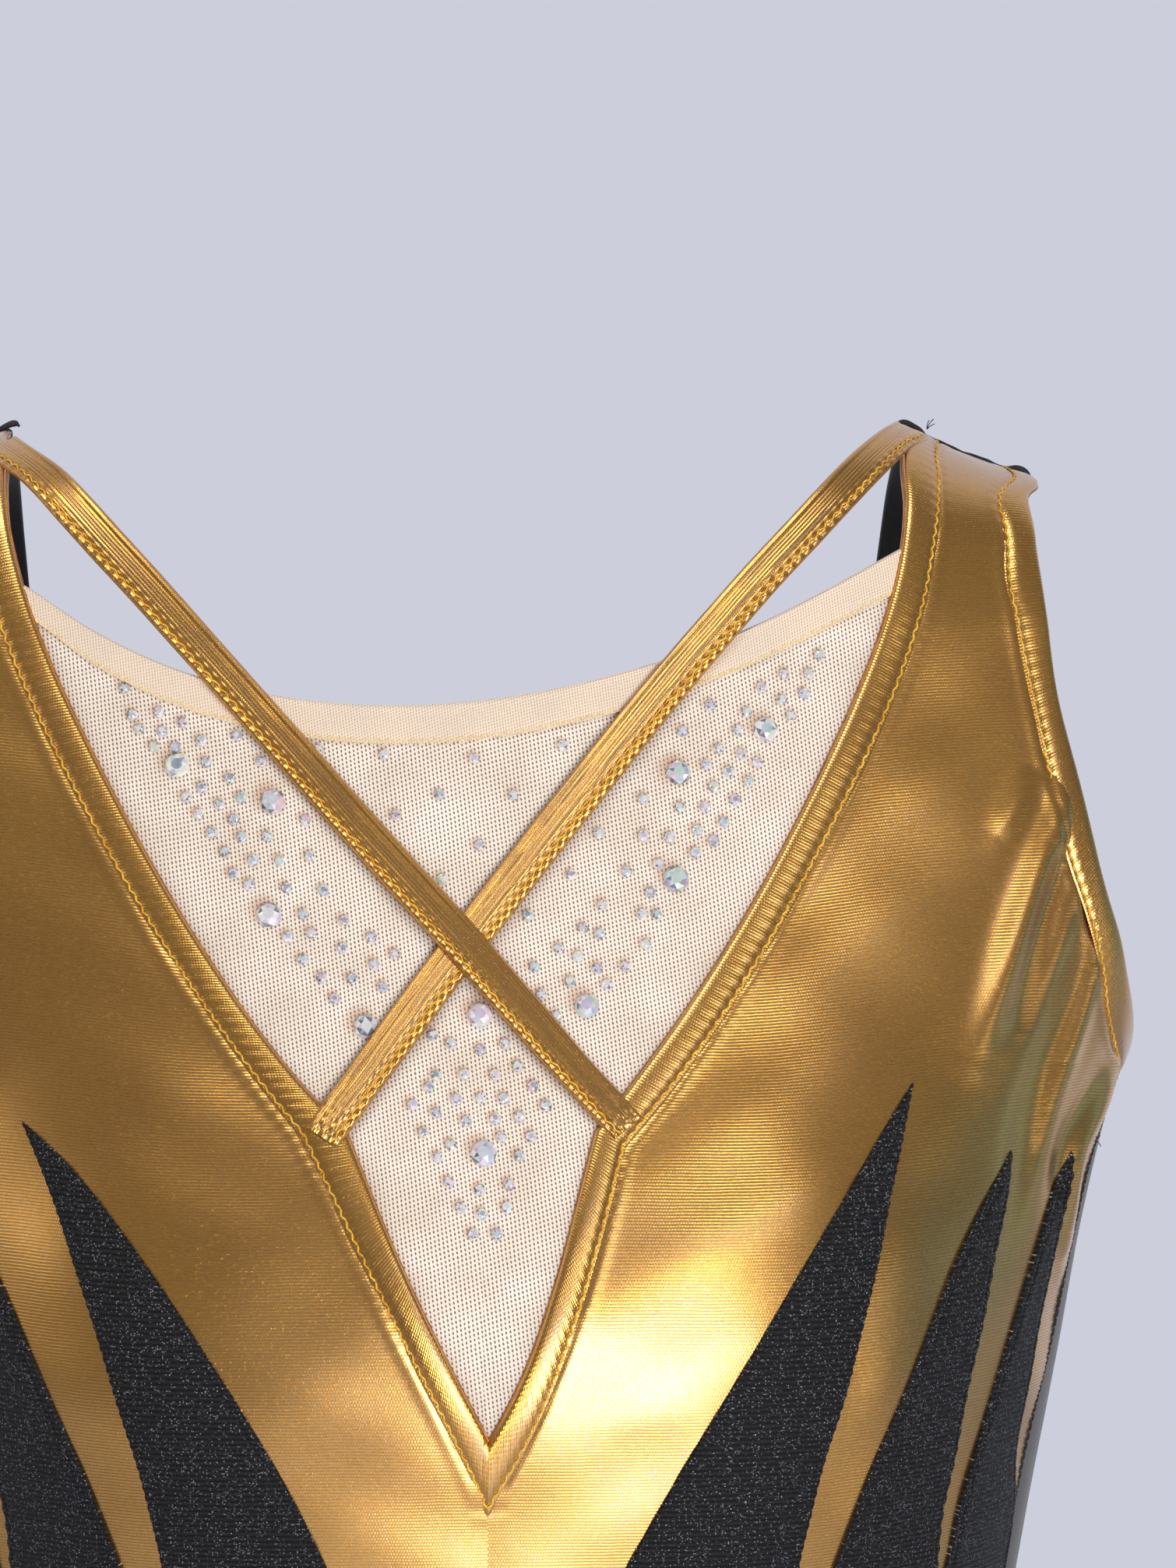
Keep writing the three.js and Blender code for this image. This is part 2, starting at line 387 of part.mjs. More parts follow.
// large faceted stones set on the net
STONES.forEach(([x, z], i) => {
  const under = i === 4;
  let th = Math.atan2(x, 60);
  for (let k = 0; k < 60; k++) th -= 0.6 * (radius(th, z) * Math.sin(th) - x) / 60;
  const h = under ? 1.0 : 1.9;
  const g = new THREE.CylinderGeometry(STONE_R * 0.5, STONE_R, h, 10);
  const n = normal(th, z), base = off(th, z, 1.85);
  g.applyQuaternion(new THREE.Quaternion().setFromUnitVectors(new THREE.Vector3(0, 1, 0), n));
  g.translate(base.x + n.x * h / 2, base.y + n.y * h / 2, base.z + n.z * h / 2);
  add(`rhinestone_large_${String(i + 1).padStart(2, '0')}`, fromGeometry(g), 'stone');
});

export default group;
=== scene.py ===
import bpy, bmesh, math, json
import numpy as np
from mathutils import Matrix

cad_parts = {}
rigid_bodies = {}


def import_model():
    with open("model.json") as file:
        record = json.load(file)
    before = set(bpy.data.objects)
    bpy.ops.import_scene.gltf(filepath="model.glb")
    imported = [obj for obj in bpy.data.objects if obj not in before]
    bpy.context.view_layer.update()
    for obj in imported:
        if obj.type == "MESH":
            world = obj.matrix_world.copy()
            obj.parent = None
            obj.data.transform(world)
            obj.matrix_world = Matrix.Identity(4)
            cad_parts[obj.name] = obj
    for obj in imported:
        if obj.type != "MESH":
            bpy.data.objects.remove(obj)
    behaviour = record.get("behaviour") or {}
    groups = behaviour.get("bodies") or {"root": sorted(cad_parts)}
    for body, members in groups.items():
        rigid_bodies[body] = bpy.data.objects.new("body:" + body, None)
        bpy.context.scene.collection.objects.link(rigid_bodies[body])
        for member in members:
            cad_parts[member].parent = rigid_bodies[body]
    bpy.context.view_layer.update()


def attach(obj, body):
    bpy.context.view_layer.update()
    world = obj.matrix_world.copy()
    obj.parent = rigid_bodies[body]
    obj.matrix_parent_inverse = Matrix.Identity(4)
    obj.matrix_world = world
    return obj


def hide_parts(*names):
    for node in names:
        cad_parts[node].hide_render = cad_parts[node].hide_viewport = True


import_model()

R = math.radians
MM = 0.001
rng = np.random.default_rng(7)

# ------------------------------------------------------------------ camera first
AZ, EL, DIST = R(-3.5), R(3.0), 1.300
AIM = np.array([0.029, 0.0, -0.076])
back = np.array([math.sin(AZ) * math.cos(EL), -math.cos(AZ) * math.cos(EL), math.sin(EL)])
right = np.array([math.cos(AZ), math.sin(AZ), 0.0])
up = np.cross(back, right)
cam_data = bpy.data.cameras.new("camera")
cam = bpy.data.objects.new("camera", cam_data)
bpy.context.scene.collection.objects.link(cam)
cam_data.lens = 129.0
cam_data.sensor_width = 36.0
cam_data.sensor_fit = "AUTO"
cam_data.clip_start, cam_data.clip_end = 0.05, 50
from mathutils import Matrix, Vector, noise as mnoise
m = Matrix.Identity(4)
for i, v in enumerate((right, up, back)):
    for j in range(3):
        m[j][i] = float(v[j])
pos = AIM + back * DIST
for j in range(3):
    m[j][3] = float(pos[j])
cam.matrix_world = m
bpy.context.scene.camera = cam

# ------------------------------------------------------------------ body form (mm), the same as the frame's
FORM = [(24, 54, 40, 46, 2.1), (0, 111, 50, 55, 2.15), (-20, 160, 54, 62, 2.2), (-40, 177, 59, 70, 2.25),
        (-73, 175, 70, 84, 2.3), (-103, 166, 79, 91, 2.35), (-133, 152, 88, 94, 2.35), (-173, 141, 97, 93, 2.35),
        (-208, 134.5, 101, 89, 2.3), (-243, 128, 101, 82, 2.25), (-295, 120, 95, 72, 2.2), (-345, 115, 88, 65, 2.2),
        (-400, 123, 88, 72, 2.2), (-450, 138, 94, 90, 2.25), (-500, 151, 97, 108, 2.3), (-545, 157, 94, 116, 2.3),
        (-585, 153, 84, 110, 2.3), (-615, 135, 69, 92, 2.25), (-638, 102, 48, 64, 2.2), (-650, 63, 28, 38, 2.1),
        (-655, 0, 0, 0, 2.0)]
FORM = np.array(FORM[::-1], float)
ZA = FORM[:, 0]


def pchip(x, y):
    h = np.diff(x); d = np.diff(y) / h
    t = np.zeros_like(y); t[0] = d[0]; t[-1] = d[-1]
    for i in range(1, len(x) - 1):
        if d[i - 1] * d[i] > 0:
            w1 = 2 * h[i] + h[i - 1]; w2 = h[i] + 2 * h[i - 1]
            t[i] = (w1 + w2) / (w1 / d[i - 1] + w2 / d[i])
    return t


TAB = [(FORM[:, k], pchip(ZA, FORM[:, k])) for k in range(1, 5)]


def ev(t, z):
    v, mm = t
    z = np.clip(z, ZA[0], ZA[-1])
    i = np.clip(np.searchsorted(ZA, z, side="right") - 1, 0, len(ZA) - 2)
    h = ZA[i + 1] - ZA[i]; s = (z - ZA[i]) / h
    return (v[i] * (2 * s**3 - 3 * s**2 + 1) + mm[i] * h * (s**3 - 2 * s**2 + s)
            + v[i + 1] * (-2 * s**3 + 3 * s**2) + mm[i + 1] * h * (s**3 - s**2))


def bell(u, s):
    return np.exp(-u * u / (2 * s * s))


def rad(th, z):
    th = np.asarray(th, float); z = np.asarray(z, float)
    A, F, B, n = (ev(t, z) for t in TAB)
    s = np.abs(np.sin(th)); c = np.cos(th)
    D = np.where(c >= 0, F, B)
    r = ((s / np.maximum(A, 1e-9))**n + (np.abs(c) / np.maximum(D, 1e-9))**n)**(-1 / n)
    x = r * s; f = np.clip(c, 0, 1); b = np.clip(-c, 0, 1)
    r = r + 13 * f**0.7 * bell(x - 66, 30) * bell(z + 186, 40)
    r = r + 5 * b * bell(x - 70, 32) * bell(z + 120, 42)
    r = r - 5 * b * bell(x, 16) * bell(z + 290, 120)
    r = r + 9 * b * bell(x - 62, 36) * bell(z + 545, 45)
    r = r + 8.2 * f * bell(x, 27) * bell(z + 188, 32)          # stretched cloth bridges the hollow at the centre front
    return r


def P(th, z):
    r = rad(th, z)
    return np.stack([r * np.sin(th), -r * np.cos(th), np.asarray(z, float) + 0 * r], -1)


def N(th, z, e=1e-3):
    z = np.asarray(z, float)
    a = P(th + e, z) - P(th - e, z)
    b = P(th, np.minimum(z + 0.5, ZA[-1])) - P(th, np.maximum(z - 0.5, ZA[0]))
    n = np.cross(a, b)
    return n / np.maximum(np.linalg.norm(n, axis=-1, keepdims=True), 1e-12)


def off(th, z, d):
    return P(th, z) + N(th, z) * np.asarray(d, float)[..., None]


def grad(p):
    th = np.arctan2(p[..., 0], -p[..., 1]); rho = np.maximum(np.hypot(p[..., 0], p[..., 1]), 1e-6)
    e = 0.25
    z = p[..., 2]
    drz = (rad(th, z + e) - rad(th, z - e)) / (2 * e)
    drt = (rad(th + 1e-3, z) - rad(th - 1e-3, z)) / 2e-3
    rh = np.stack([p[..., 0] / rho, p[..., 1] / rho, 0 * rho], -1)
    tt = np.stack([-rh[..., 1], rh[..., 0], 0 * rho], -1)
    g = rh - tt * (drt / rho)[..., None]
    g[..., 2] -= drz
    return rho - rad(th, z), g


def project(p, it=14):
    """Brings points onto the form."""
    p = np.array(p, float)
    for _ in range(it):
        f, g = grad(p)
        g2 = (g * g).sum(-1)
        step = np.clip(f / np.maximum(g2, 1e-9), -12, 12)
        p = p - g * step[..., None]
        p[..., 2] = np.clip(p[..., 2], ZA[0] + 0.02, ZA[-1] - 0.5)
    return p


def pnormal(p):
    f, g = grad(p)
    return g / np.linalg.norm(g, axis=-1, keepdims=True)


def thz(p):
    return np.arctan2(p[..., 0], -p[..., 1]), p[..., 2]


def spline(pts, n=None, step=None, k=16):
    """Catmull-Rom through the points, then even steps along it."""
    p = np.asarray(pts, float)
    if len(p) > 2:
        e = np.vstack([2 * p[0] - p[1], p, 2 * p[-1] - p[-2]])
        out = []
        for i in range(1, len(e) - 2):
            t = np.linspace(0, 1, k, endpoint=False)[:, None]
            d1 = np.linalg.norm(e[i + 1] - e[i]); d0 = np.linalg.norm(e[i] - e[i - 1]); d2 = np.linalg.norm(e[i + 2] - e[i + 1])
            m1 = (e[i + 1] - e[i - 1]) / max(d0 + d1, 1e-9) * d1
            m2 = (e[i + 2] - e[i]) / max(d1 + d2, 1e-9) * d1
            out.append((2 * t**3 - 3 * t**2 + 1) * e[i] + (t**3 - 2 * t**2 + t) * m1
                       + (-2 * t**3 + 3 * t**2) * e[i + 1] + (t**3 - t**2) * m2)
        out.append(e[-2][None])
        p = np.vstack(out)
    return even(p, n, step)


def arclen(p):
    return np.concatenate([[0], np.cumsum(np.linalg.norm(np.diff(p, axis=0), axis=1))])


def even(p, n=None, step=None):
    s = arclen(p)
    if n is None:
        n = max(2, int(round(s[-1] / step)) + 1)
    t = np.linspace(0, s[-1], n)
    return np.stack([np.interp(t, s, p[:, j]) for j in range(p.shape[1])], 1)


def joined(*parts, n=None, step=None):
    """Splines joined at corners."""
    segs = [spline(q, step=0.8) for q in parts]
    p = np.vstack([segs[0]] + [s[1:] for s in segs[1:]])
    return even(p, n, step)


def front_theta(x, z):
    """theta on the front for a given x and z."""
    x = np.asarray(x, float); z = np.asarray(z, float)
    s = np.sign(x); ax = np.abs(x)
    lo = np.zeros_like(ax); hi = np.full_like(ax, math.pi / 2)
    for _ in range(40):
        mid = (lo + hi) / 2
        v = rad(mid, z) * np.sin(mid) < ax
        lo = np.where(v, mid, lo); hi = np.where(v, hi, mid)
    return s * (lo + hi) / 2


def back_theta(x, z):
    x = np.asarray(x, float); z = np.asarray(z, float)
    s = np.where(x < 0, -1.0, 1.0); ax = np.abs(x)
    lo = np.full_like(ax, math.pi / 2); hi = np.full_like(ax, math.pi)
    for _ in range(40):
        mid = (lo + hi) / 2
        v = rad(mid, z) * np.sin(mid) > ax
        lo = np.where(v, mid, lo); hi = np.where(v, hi, mid)
    return s * (lo + hi) / 2


def onfront(xz):
    xz = np.asarray(xz, float)
    return P(front_theta(xz[:, 0], xz[:, 1]), xz[:, 1])


def onback(xz):
    xz = np.asarray(xz, float)
    return P(back_theta(xz[:, 0], xz[:, 1]), xz[:, 1])


def ontz(tz):
    tz = np.asarray(tz, float)
    return P(np.radians(tz[:, 0]), tz[:, 1])


def flipx(p):
    q = np.array(p, float); q[..., 0] *= -1
    return q


# ------------------------------------------------------------------ pattern curves (mm)
NECK_L = [(-102.8, -2.0), (-102.8, -8), (-101.6, -18.5), (-98, -32.2), (-92.8, -46), (-86.5, -59.6), (-79.7, -72.9), (-72.6, -85.9), (-65.1, -98.8), (-57.2, -111.2), (-48.7, -123.4), (-39.3, -135.1), (-28.8, -146.2)]
NECK_L2 = [(-28.8, -146.2), (-25.1, -155.3), (-21.3, -164.6), (-17.2, -173.8), (-12.9, -183), (-8.3, -192.2), (-3.6, -201.3), (1.2, -210.3)]
NECK_R = [(98.5, -0.5), (97.6, -5), (97.4, -12.5), (94.9, -26.6), (90.2, -41.1), (84, -55.4), (76.9, -69.4), (69.5, -83), (61.7, -96.4), (53.4, -109.4), (44.4, -122), (34.7, -134.3), (24.7, -146.5)]
NECK_R2 = [(24.7, -146.5), (22, -155.6), (19.3, -164.9), (16.5, -174.2), (13.4, -183.5), (10, -192.7), (6, -201.6), (1.2, -210.3)]
ST_L = [(-110.2, -2.0), (-109.8, -8), (-109.2, -18.1), (-106.1, -31.4), (-101.1, -45.1), (-94.9, -58.8), (-88, -72.2), (-80.8, -85.4), (-73.3, -98.2), (-65.3, -110.7), (-56.9, -122.9), (-48, -134.8), (-38.4, -146.5)]
ST_L2 = [(-38.4, -146.5), (-32.9, -157.5), (-27.4, -168.7), (-21.7, -179.9), (-15.9, -191.2), (-10, -202.5), (-4.3, -213.9), (1.0, -225.4)]
ST_R = [(106.4, -2), (105.9, -6.5), (104.1, -17.2), (100.7, -32.8), (95.1, -48.9), (87.9, -64.5), (79.7, -79.6), (71.2, -94.4), (62.4, -108.8), (52.8, -122.7), (42.3, -136.2), (30.7, -149.3)]
ST_R2 = [(30.7, -149.3), (27.6, -160.3), (24.2, -171.4), (20.6, -182.5), (16.5, -193.6), (12, -204.5), (6.8, -215.1), (1.0, -225.4)]
NET_TOP = [(-101.5, -28.4), (-98.1, -29.7), (-83.9, -38.9), (-68.6, -46.4), (-52.4, -51.6), (-35.7, -54.6), (-18.5, -55.7), (-1.2, -54.9), (16, -52.5), (33.1, -48.5), (49.7, -43.3), (65.6, -36.9), (80.7, -29.5), (95.3, -21.8), (99, -20)]
NET_HEM = [(-100, -35.6), (-96, -37.4), (-82.7, -47), (-68, -54.5), (-52.3, -59.7), (-35.9, -62.8), (-19.2, -64), (-2.3, -63.4), (14.6, -61.1), (31.2, -57.4), (47.4, -52.4), (63, -46.4), (77.9, -39.5), (92.6, -32.3), (97, -30)]
STRAP_A = [(-103.5, -1.0), (-94.1, -7), (-86.5, -14.2), (-78.7, -22.5), (-70.6, -31.3), (-62.5, -40.4), (-54.4, -49.6), (-46.2, -58.9), (-38, -68.1), (-29.8, -77.4), (-21.6, -86.7), (-13.4, -95.9), (-5.2, -105.1), (3, -114.4), (11.2, -123.6), (19.4, -132.9), (27.9, -142.1), (31.5, -146)]
STRAP_B = [(100.5, 2.5), (95.7, 0.6), (88.5, -4.5), (80.5, -11.4), (72.3, -19.4), (63.9, -28), (55.6, -37.1), (47.3, -46.4), (39.2, -55.8), (31.1, -65.4), (23.1, -75), (15.2, -84.6), (7.4, -94.3), (-0.4, -104), (-8.1, -113.7), (-15.7, -123.5), (-23.3, -133.4), (-30.9, -143.3), (-34, -147.5)]
CROSSING = (-2.6, -106.5)
ARM_EDGE = [(90, -6.8), (83, -8.9), (77.9, -11.8), (74.2, -20.5), (72.5, -29.2), (71.4, -37.9), (70.2, -55.2), (69.8, -72.6), (70.2, -90), (71, -98.9), (72.5, -107.9), (74.7, -117.1), (78.5, -126), (84, -133.5), (90, -136)]
ARM_ST = [(90, -4.9), (82, -7.2), (75.2, -11.7), (72.2, -20.5), (70.4, -29.2), (69.5, -37.8), (68.4, -56.9), (67.7, -77.6), (68, -90), (69.2, -102), (71, -114), (73.4, -125.9), (78, -136), (84, -142), (90, -144.5)]
SEAM = [(90, -136), (86, -138.5), (81.5, -146), (77.5, -158), (75.5, -176), (73.5, -196), (71, -216), (70, -236), (70.5, -260), (73, -300), (76, -345)]
SEAM_LOW = [(76, -345), (78, -420), (80.5, -493)]
WAIST = -352.0


def waist_z(x):
    return WAIST + 10 * np.minimum(np.abs(x) / 120, 1.2)**2


GOLD_POINT = -318
A_IN = [(0.0, GOLD_POINT), (7, -281), (12.5, -257), (16.5, -238.3), (19.9, -224.5), (23.3, -210.8), (27, -197.3), (31, -184.3), (35.4, -172), (40.2, -160.2), (45.3, -148.8), (50.4, -137.7)]
A_OUT = [(50.4, -137.7), (47.7, -149.9), (44.9, -162.2), (42.4, -174.7), (40.2, -187.4), (38.4, -200.4), (37, -213.6), (36.2, -226.9), (35.7, -240.3), (36.6, -268)]
AL_IN = [(0.0, GOLD_POINT), (-8, -281), (-14, -257), (-17.8, -237.5), (-20.6, -223.9), (-23.7, -210.6), (-27.2, -197.6), (-31.1, -185.3), (-35.5, -173.6), (-40.3, -162.9), (-45.6, -153.2), (-51.3, -144.9)]
AL_OUT = [(-51.3, -144.9), (-48, -155.6), (-44.9, -166.4), (-42.2, -177.6), (-39.9, -189.3), (-38.1, -201.3), (-36.8, -213.6), (-36, -226.1), (-35.5, -238.6), (-36.6, -268)]
B_IN = [(36.6, -268), (39.9, -241.2), (41.3, -228.9), (43, -216.9), (45.1, -205.2), (47.7, -193.8), (50.7, -182.9), (54, -172.6), (57.6, -162.8), (61.5, -154.1)]
B_OUT = [(61.5, -154.1), (60.6, -164.4), (58.9, -175.4), (57.2, -186.7), (55.8, -198.2), (54.9, -209.8), (54.4, -221.6), (54.2, -233.4), (55.0, -254)]
C_IN = [(55.0, -254), (56.2, -245.8), (56.7, -233.6), (57.7, -221.7), (59.2, -210.1), (61.1, -198.7), (63.3, -187.6), (65.6, -176.8), (67.9, -166.1), (70.4, -155.9)]
C_OUT = [(70.4, -155.9), (70.4, -167.2), (69.5, -178.4), (68.5, -189.5), (67.5, -200.7), (66.9, -212), (67.3, -224), (69.4, -236)]
SCOOP = [(102.8, -2), (102.6, -12), (100, -45), (92, -85), (78, -118), (57, -143), (30, -159), (0, -165)]
SCOOP_ST = [(110.6, -3), (110.4, -14), (108, -47), (99.5, -89), (84, -124), (61.5, -150.5), (32, -167.4), (0, -173.4)]
LEG = {"front": [(90, -498), (72, -515), (57, -540), (46, -566), (38, -592), (34, -615)], "crotch": [(34, -47), (33, -24), (32.5, 2), (34, 30), (40, 56)], "back": [(149, -615), (146, -592), (139, -566), (128, -540), (110, -512), (90, -498)]}
LEG_OUT = {"front": [(90, -488), (70, -505.5), (53.5, -532), (42, -561), (33.5, -589), (27.5, -614)], "crotch": [(25.5, -49), (24.5, -24), (24, 2), (25.5, 30), (31, 58)], "back": [(153.5, -617), (150.5, -591), (143, -561), (131.5, -532), (112, -502), (90, -488)]}
BIG = [(-64.9, -68.5), (-44.1, -76.4), (-45.0, -100.5), (-24.3, -124.0), (0.3, -121.7), (0.6, -150.5), (23.5, -120.0), (64.1, -61.2), (44.6, -70.3), (43.5, -93.2)]
SMALL = [(-76.4, -51.9), (-74.6, -57.7), (-68.8, -57.1), (-63.7, -59.3), (-73.1, -60.7), (-68.0, -61.3), (-59.6, -63.3), (-69.9, -64.4), (-65.3, -64.7), (-51.8, -62.1), (-58.6, -67.9), (-46.6, -67.7), (-53.5, -71.4), (-59.3, -73.2), (-62.9, -75.4), (-55.6, -76.9), (-51.0, -75.4), (-60.2, -78.9), (-52.6, -80.2), (-37.1, -80.2), (-57.3, -83.1), (-50.9, -83.9), (-45.3, -83.7), (-54.4, -87.2), (-48.4, -88.9), (-42.6, -88.9), (-36.2, -88.0), (-52.8, -91.7), (-49.2, -94.0), (-41.3, -94.7), (-33.2, -95.2), (-37.6, -100.3), (-28.8, -101.8), (-41.0, -105.1), (-35.9, -104.3), (-23.0, -105.3), (-29.2, -107.6), (-18.0, -108.8), (-37.8, -110.0), (-22.4, -110.9), (-33.7, -113.8), (-27.3, -114.1), (-20.6, -115.8), (-31.0, -118.2), (-34.2, -65.2), (-19.9, -66.2), (-0.2, -67.1), (19.2, -64.4), (-7.9, -74.9), (8.4, -75.0), (-17.3, -79.2), (0.8, -85.8), (-7.5, -92.9), (20.5, -92.2), (11.1, -100.8), (23.0, -103.5), (17.7, -107.8), (21.7, -109.5), (12.1, -111.7), (19.9, -114.9), (13.6, -117.5), (16.8, -122.1), (-6.2, -127.7), (-10.1, -126.0), (0.3, -129.1), (5.6, -127.8), (8.3, -132.4), (-9.3, -134.4), (-3.3, -134.1), (3.3, -134.3), (-11.0, -136.7), (11.5, -136.6), (-5.2, -139.2), (0.2, -139.2), (5.2, -139.2), (-14.6, -140.5), (-9.4, -142.1), (14.1, -140.7), (-3.1, -143.8), (3.2, -143.5), (8.4, -143.0), (-12.3, -146.1), (4.3, -147.2), (10.8, -147.1), (-6.5, -148.6), (-9.2, -151.2), (8.1, -151.0), (-7.1, -156.3), (5.8, -156.9), (-0.4, -158.0), (-4.6, -161.5), (5.4, -161.6), (-0.1, -162.9), (-2.1, -167.0), (3.2, -167.0), (76.6, -44.9), (68.6, -49.0), (74.2, -49.0), (63.5, -52.0), (72.9, -53.2), (67.9, -54.7), (51.9, -55.8), (60.0, -57.4), (69.9, -58.2), (58.0, -61.3), (45.7, -61.4), (53.5, -65.3), (58.7, -66.4), (62.1, -68.4), (50.7, -68.8), (55.7, -70.2), (60.1, -72.3), (52.3, -73.5), (36.7, -75.8), (56.9, -76.3), (44.8, -77.8), (50.4, -77.9), (54.3, -81.1), (26.7, -83.4), (36.6, -83.8), (42.2, -84.2), (48.3, -82.7), (52.0, -85.1), (47.8, -87.6), (39.7, -90.0), (32.8, -91.5), (37.8, -96.0), (27.2, -98.6), (35.9, -100.6), (39.1, -100.7), (26.6, -104.9), (36.7, -107.1), (25.9, -112.1), (32.0, -111.8), (28.0, -115.6)]
# drag folds of the foil by the armhole: points (theta, z), height, half width
FOLDS = [([(68.6, -70), (67.7, -80.2), (65.4, -93.0), (62.8, -106.5), (60.0, -121.6), (57.5, -134)], 1.7, 3.0),
         ([(66.9, -70.6), (64.8, -78.2), (62.8, -85.8)], 0.8, 2.4),
         ([(67.9, -86.3), (65.8, -100.8), (64.0, -115.3), (62.3, -128.9)], -1.2, 2.6),
         ([(70.4, -95), (69.2, -105.6), (67.5, -124.6), (64.3, -144.9), (62.2, -160.1), (59.9, -175.1)], -1.3, 3.4),
         ([(70.5, -112), (69.5, -126), (67.2, -141), (65.0, -157)], 1.2, 2.8),
         ([(80.0, -137), (76.0, -146), (72.0, -156), (72.3, -170), (72.6, -182)], 1.8, 3.4),
         ([(75.5, -137), (72.4, -146), (69.2, -156), (68.2, -168)], -1.0, 2.8)]


# ------------------------------------------------------------------ mesh helpers
def make(name, verts, faces, uvs=None, attrs=None, mat=None, sharp=48, colors=None):
    me = bpy.data.meshes.new(name)
    me.from_pydata((np.asarray(verts) * MM).tolist(), [], faces)
    if uvs is not None:
        layer = me.uv_layers.new(name="UVMap")
        li = np.empty(len(me.loops), dtype=np.int32)
        me.loops.foreach_get("vertex_index", li)
        layer.data.foreach_set("uv", np.asarray(uvs, dtype=np.float32)[li].ravel())
    for k, v in (attrs or {}).items():
        a = me.attributes.new(k, "FLOAT", "POINT")
        a.data.foreach_set("value", np.asarray(v, dtype=np.float32).ravel())
    if colors is not None:
        a = me.attributes.new("ab_colour_and_reflection", "FLOAT_COLOR", "CORNER")
        a.data.foreach_set("color", np.asarray(colors, dtype=np.float32).ravel())
    me.validate(verbose=False)
    me.polygons.foreach_set("use_smooth", np.ones(len(me.polygons), dtype=bool))
    if sharp is not None:
        me.set_sharp_from_angle(angle=R(sharp))
    ob = bpy.data.objects.new(name, me)
    bpy.context.scene.collection.objects.link(ob)
    if mat is not None:
        me.materials.append(mat)
    return ob


def slab_data(outer, inner, uv, attrs=None, wrap_v=False, skip=None):
    """A thin sheet with two faces and a rim. Grids are (nv, nu, 3). skip: sides with no rim, as (side, first row, last row)."""
    nv, nu = outer.shape[:2]
    idx = np.arange(nv * nu).reshape(nv, nu)
    o, i = idx, idx + nv * nu
    a = outer[nv // 2, nu // 2]
    du = outer[nv // 2, min(nu // 2 + 1, nu - 1)] - a
    dv = outer[min(nv // 2 + 1, nv - 1), nu // 2] - a
    flip = np.dot(np.cross(du, dv), a - inner[nv // 2, nu // 2]) < 0
    rows = np.arange(nv) if wrap_v else np.arange(nv - 1)
    nxt = (rows + 1) % nv
    F = []

    def quads(p, q, r, s, rev):
        f = np.stack([p.ravel(), q.ravel(), r.ravel(), s.ravel()], 1)
        F.append(f[:, ::-1] if rev else f)
    quads(o[rows][:, :-1], o[rows][:, 1:], o[nxt][:, 1:], o[nxt][:, :-1], flip)
    quads(i[rows][:, :-1], i[rows][:, 1:], i[nxt][:, 1:], i[nxt][:, :-1], not flip)
    sides = {"u0": (o[:, 0], i[:, 0], False), "u1": (o[:, -1], i[:, -1], True)}
    for key, (p, q, rev) in sides.items():
        keep = np.ones(len(rows), bool)
        for s in skip or []:
            if s[0] == key:
                keep[(rows >= s[1]) & (rows < s[2])] = False
        r0 = rows[keep]; r1 = nxt[keep]
        f = np.stack([p[r0], p[r1], q[r1], q[r0]], 1)
        F.append(f if (rev ^ (not flip)) == False else f[:, ::-1])
    if not wrap_v:
        for row, rev in ((0, True), (nv - 1, False)):
            if any(s[0] == "v0" for s in skip or []) and row == 0:
                continue
            if any(s[0] == "v1" for s in skip or []) and row != 0:
                continue
            f = np.stack([o[row, :-1], o[row, 1:], i[row, 1:], i[row, :-1]], 1)
            F.append(f[:, ::-1] if (rev ^ flip) == False else f)
    verts = np.concatenate([outer.reshape(-1, 3), inner.reshape(-1, 3)])
    uvs = np.concatenate([uv.reshape(-1, 2)] * 2)
    at = {k: np.concatenate([np.asarray(v).ravel()] * 2) for k, v in (attrs or {}).items()}
    return verts, np.concatenate(F), uvs, at


def build(name, datas, mat, weld=None, sharp=48, double_sided_fix=True):
    V, F, U, A, n = [], [], [], {}, 0
    for v, f, u, at in datas:
        V.append(v); F.append(np.asarray(f) + n); U.append(u); n += len(v)
        for k, x in at.items():
            A.setdefault(k, []).append(x)
    faces = [tuple(int(c) for c in f) for blk in F for f in blk]
    A = {k: np.concatenate(v) for k, v in A.items()}
    ob = make(name, np.concatenate(V), faces, np.concatenate(U), A, mat, sharp=None)
    me = ob.data
    bm = bmesh.new(); bm.from_mesh(me)
    if weld:
        bmesh.ops.remove_doubles(bm, verts=bm.verts, dist=weld * MM)
    bmesh.ops.dissolve_degenerate(bm, edges=bm.edges, dist=1e-7)
    if double_sided_fix:
        bmesh.ops.recalc_face_normals(bm, faces=bm.faces)
    bm.to_mesh(me); bm.free()
    me.polygons.foreach_set("use_smooth", np.ones(len(me.polygons), dtype=bool))
    if sharp is not None:
        me.set_sharp_from_angle(angle=R(sharp))
    me.update()
    return ob


def grid_uv(G):
    """Arc lengths across and along a grid, in cm."""
    du = np.linalg.norm(np.diff(G, axis=1), axis=2)
    u = np.concatenate([np.zeros((G.shape[0], 1)), np.cumsum(du, 1)], 1)
    c = G.shape[1] // 2
    v = arclen(G[:, c])
    return np.stack([u, np.repeat(v[:, None], G.shape[1], 1)], -1) / 10


def world_uv(TH, ZZ):
    """Girth and height on the body, in cm: keeps the knit level on every panel."""
    r = 0.5 * (rad(TH, ZZ) + 120)
    return np.stack([TH * 118, ZZ], -1) / 10


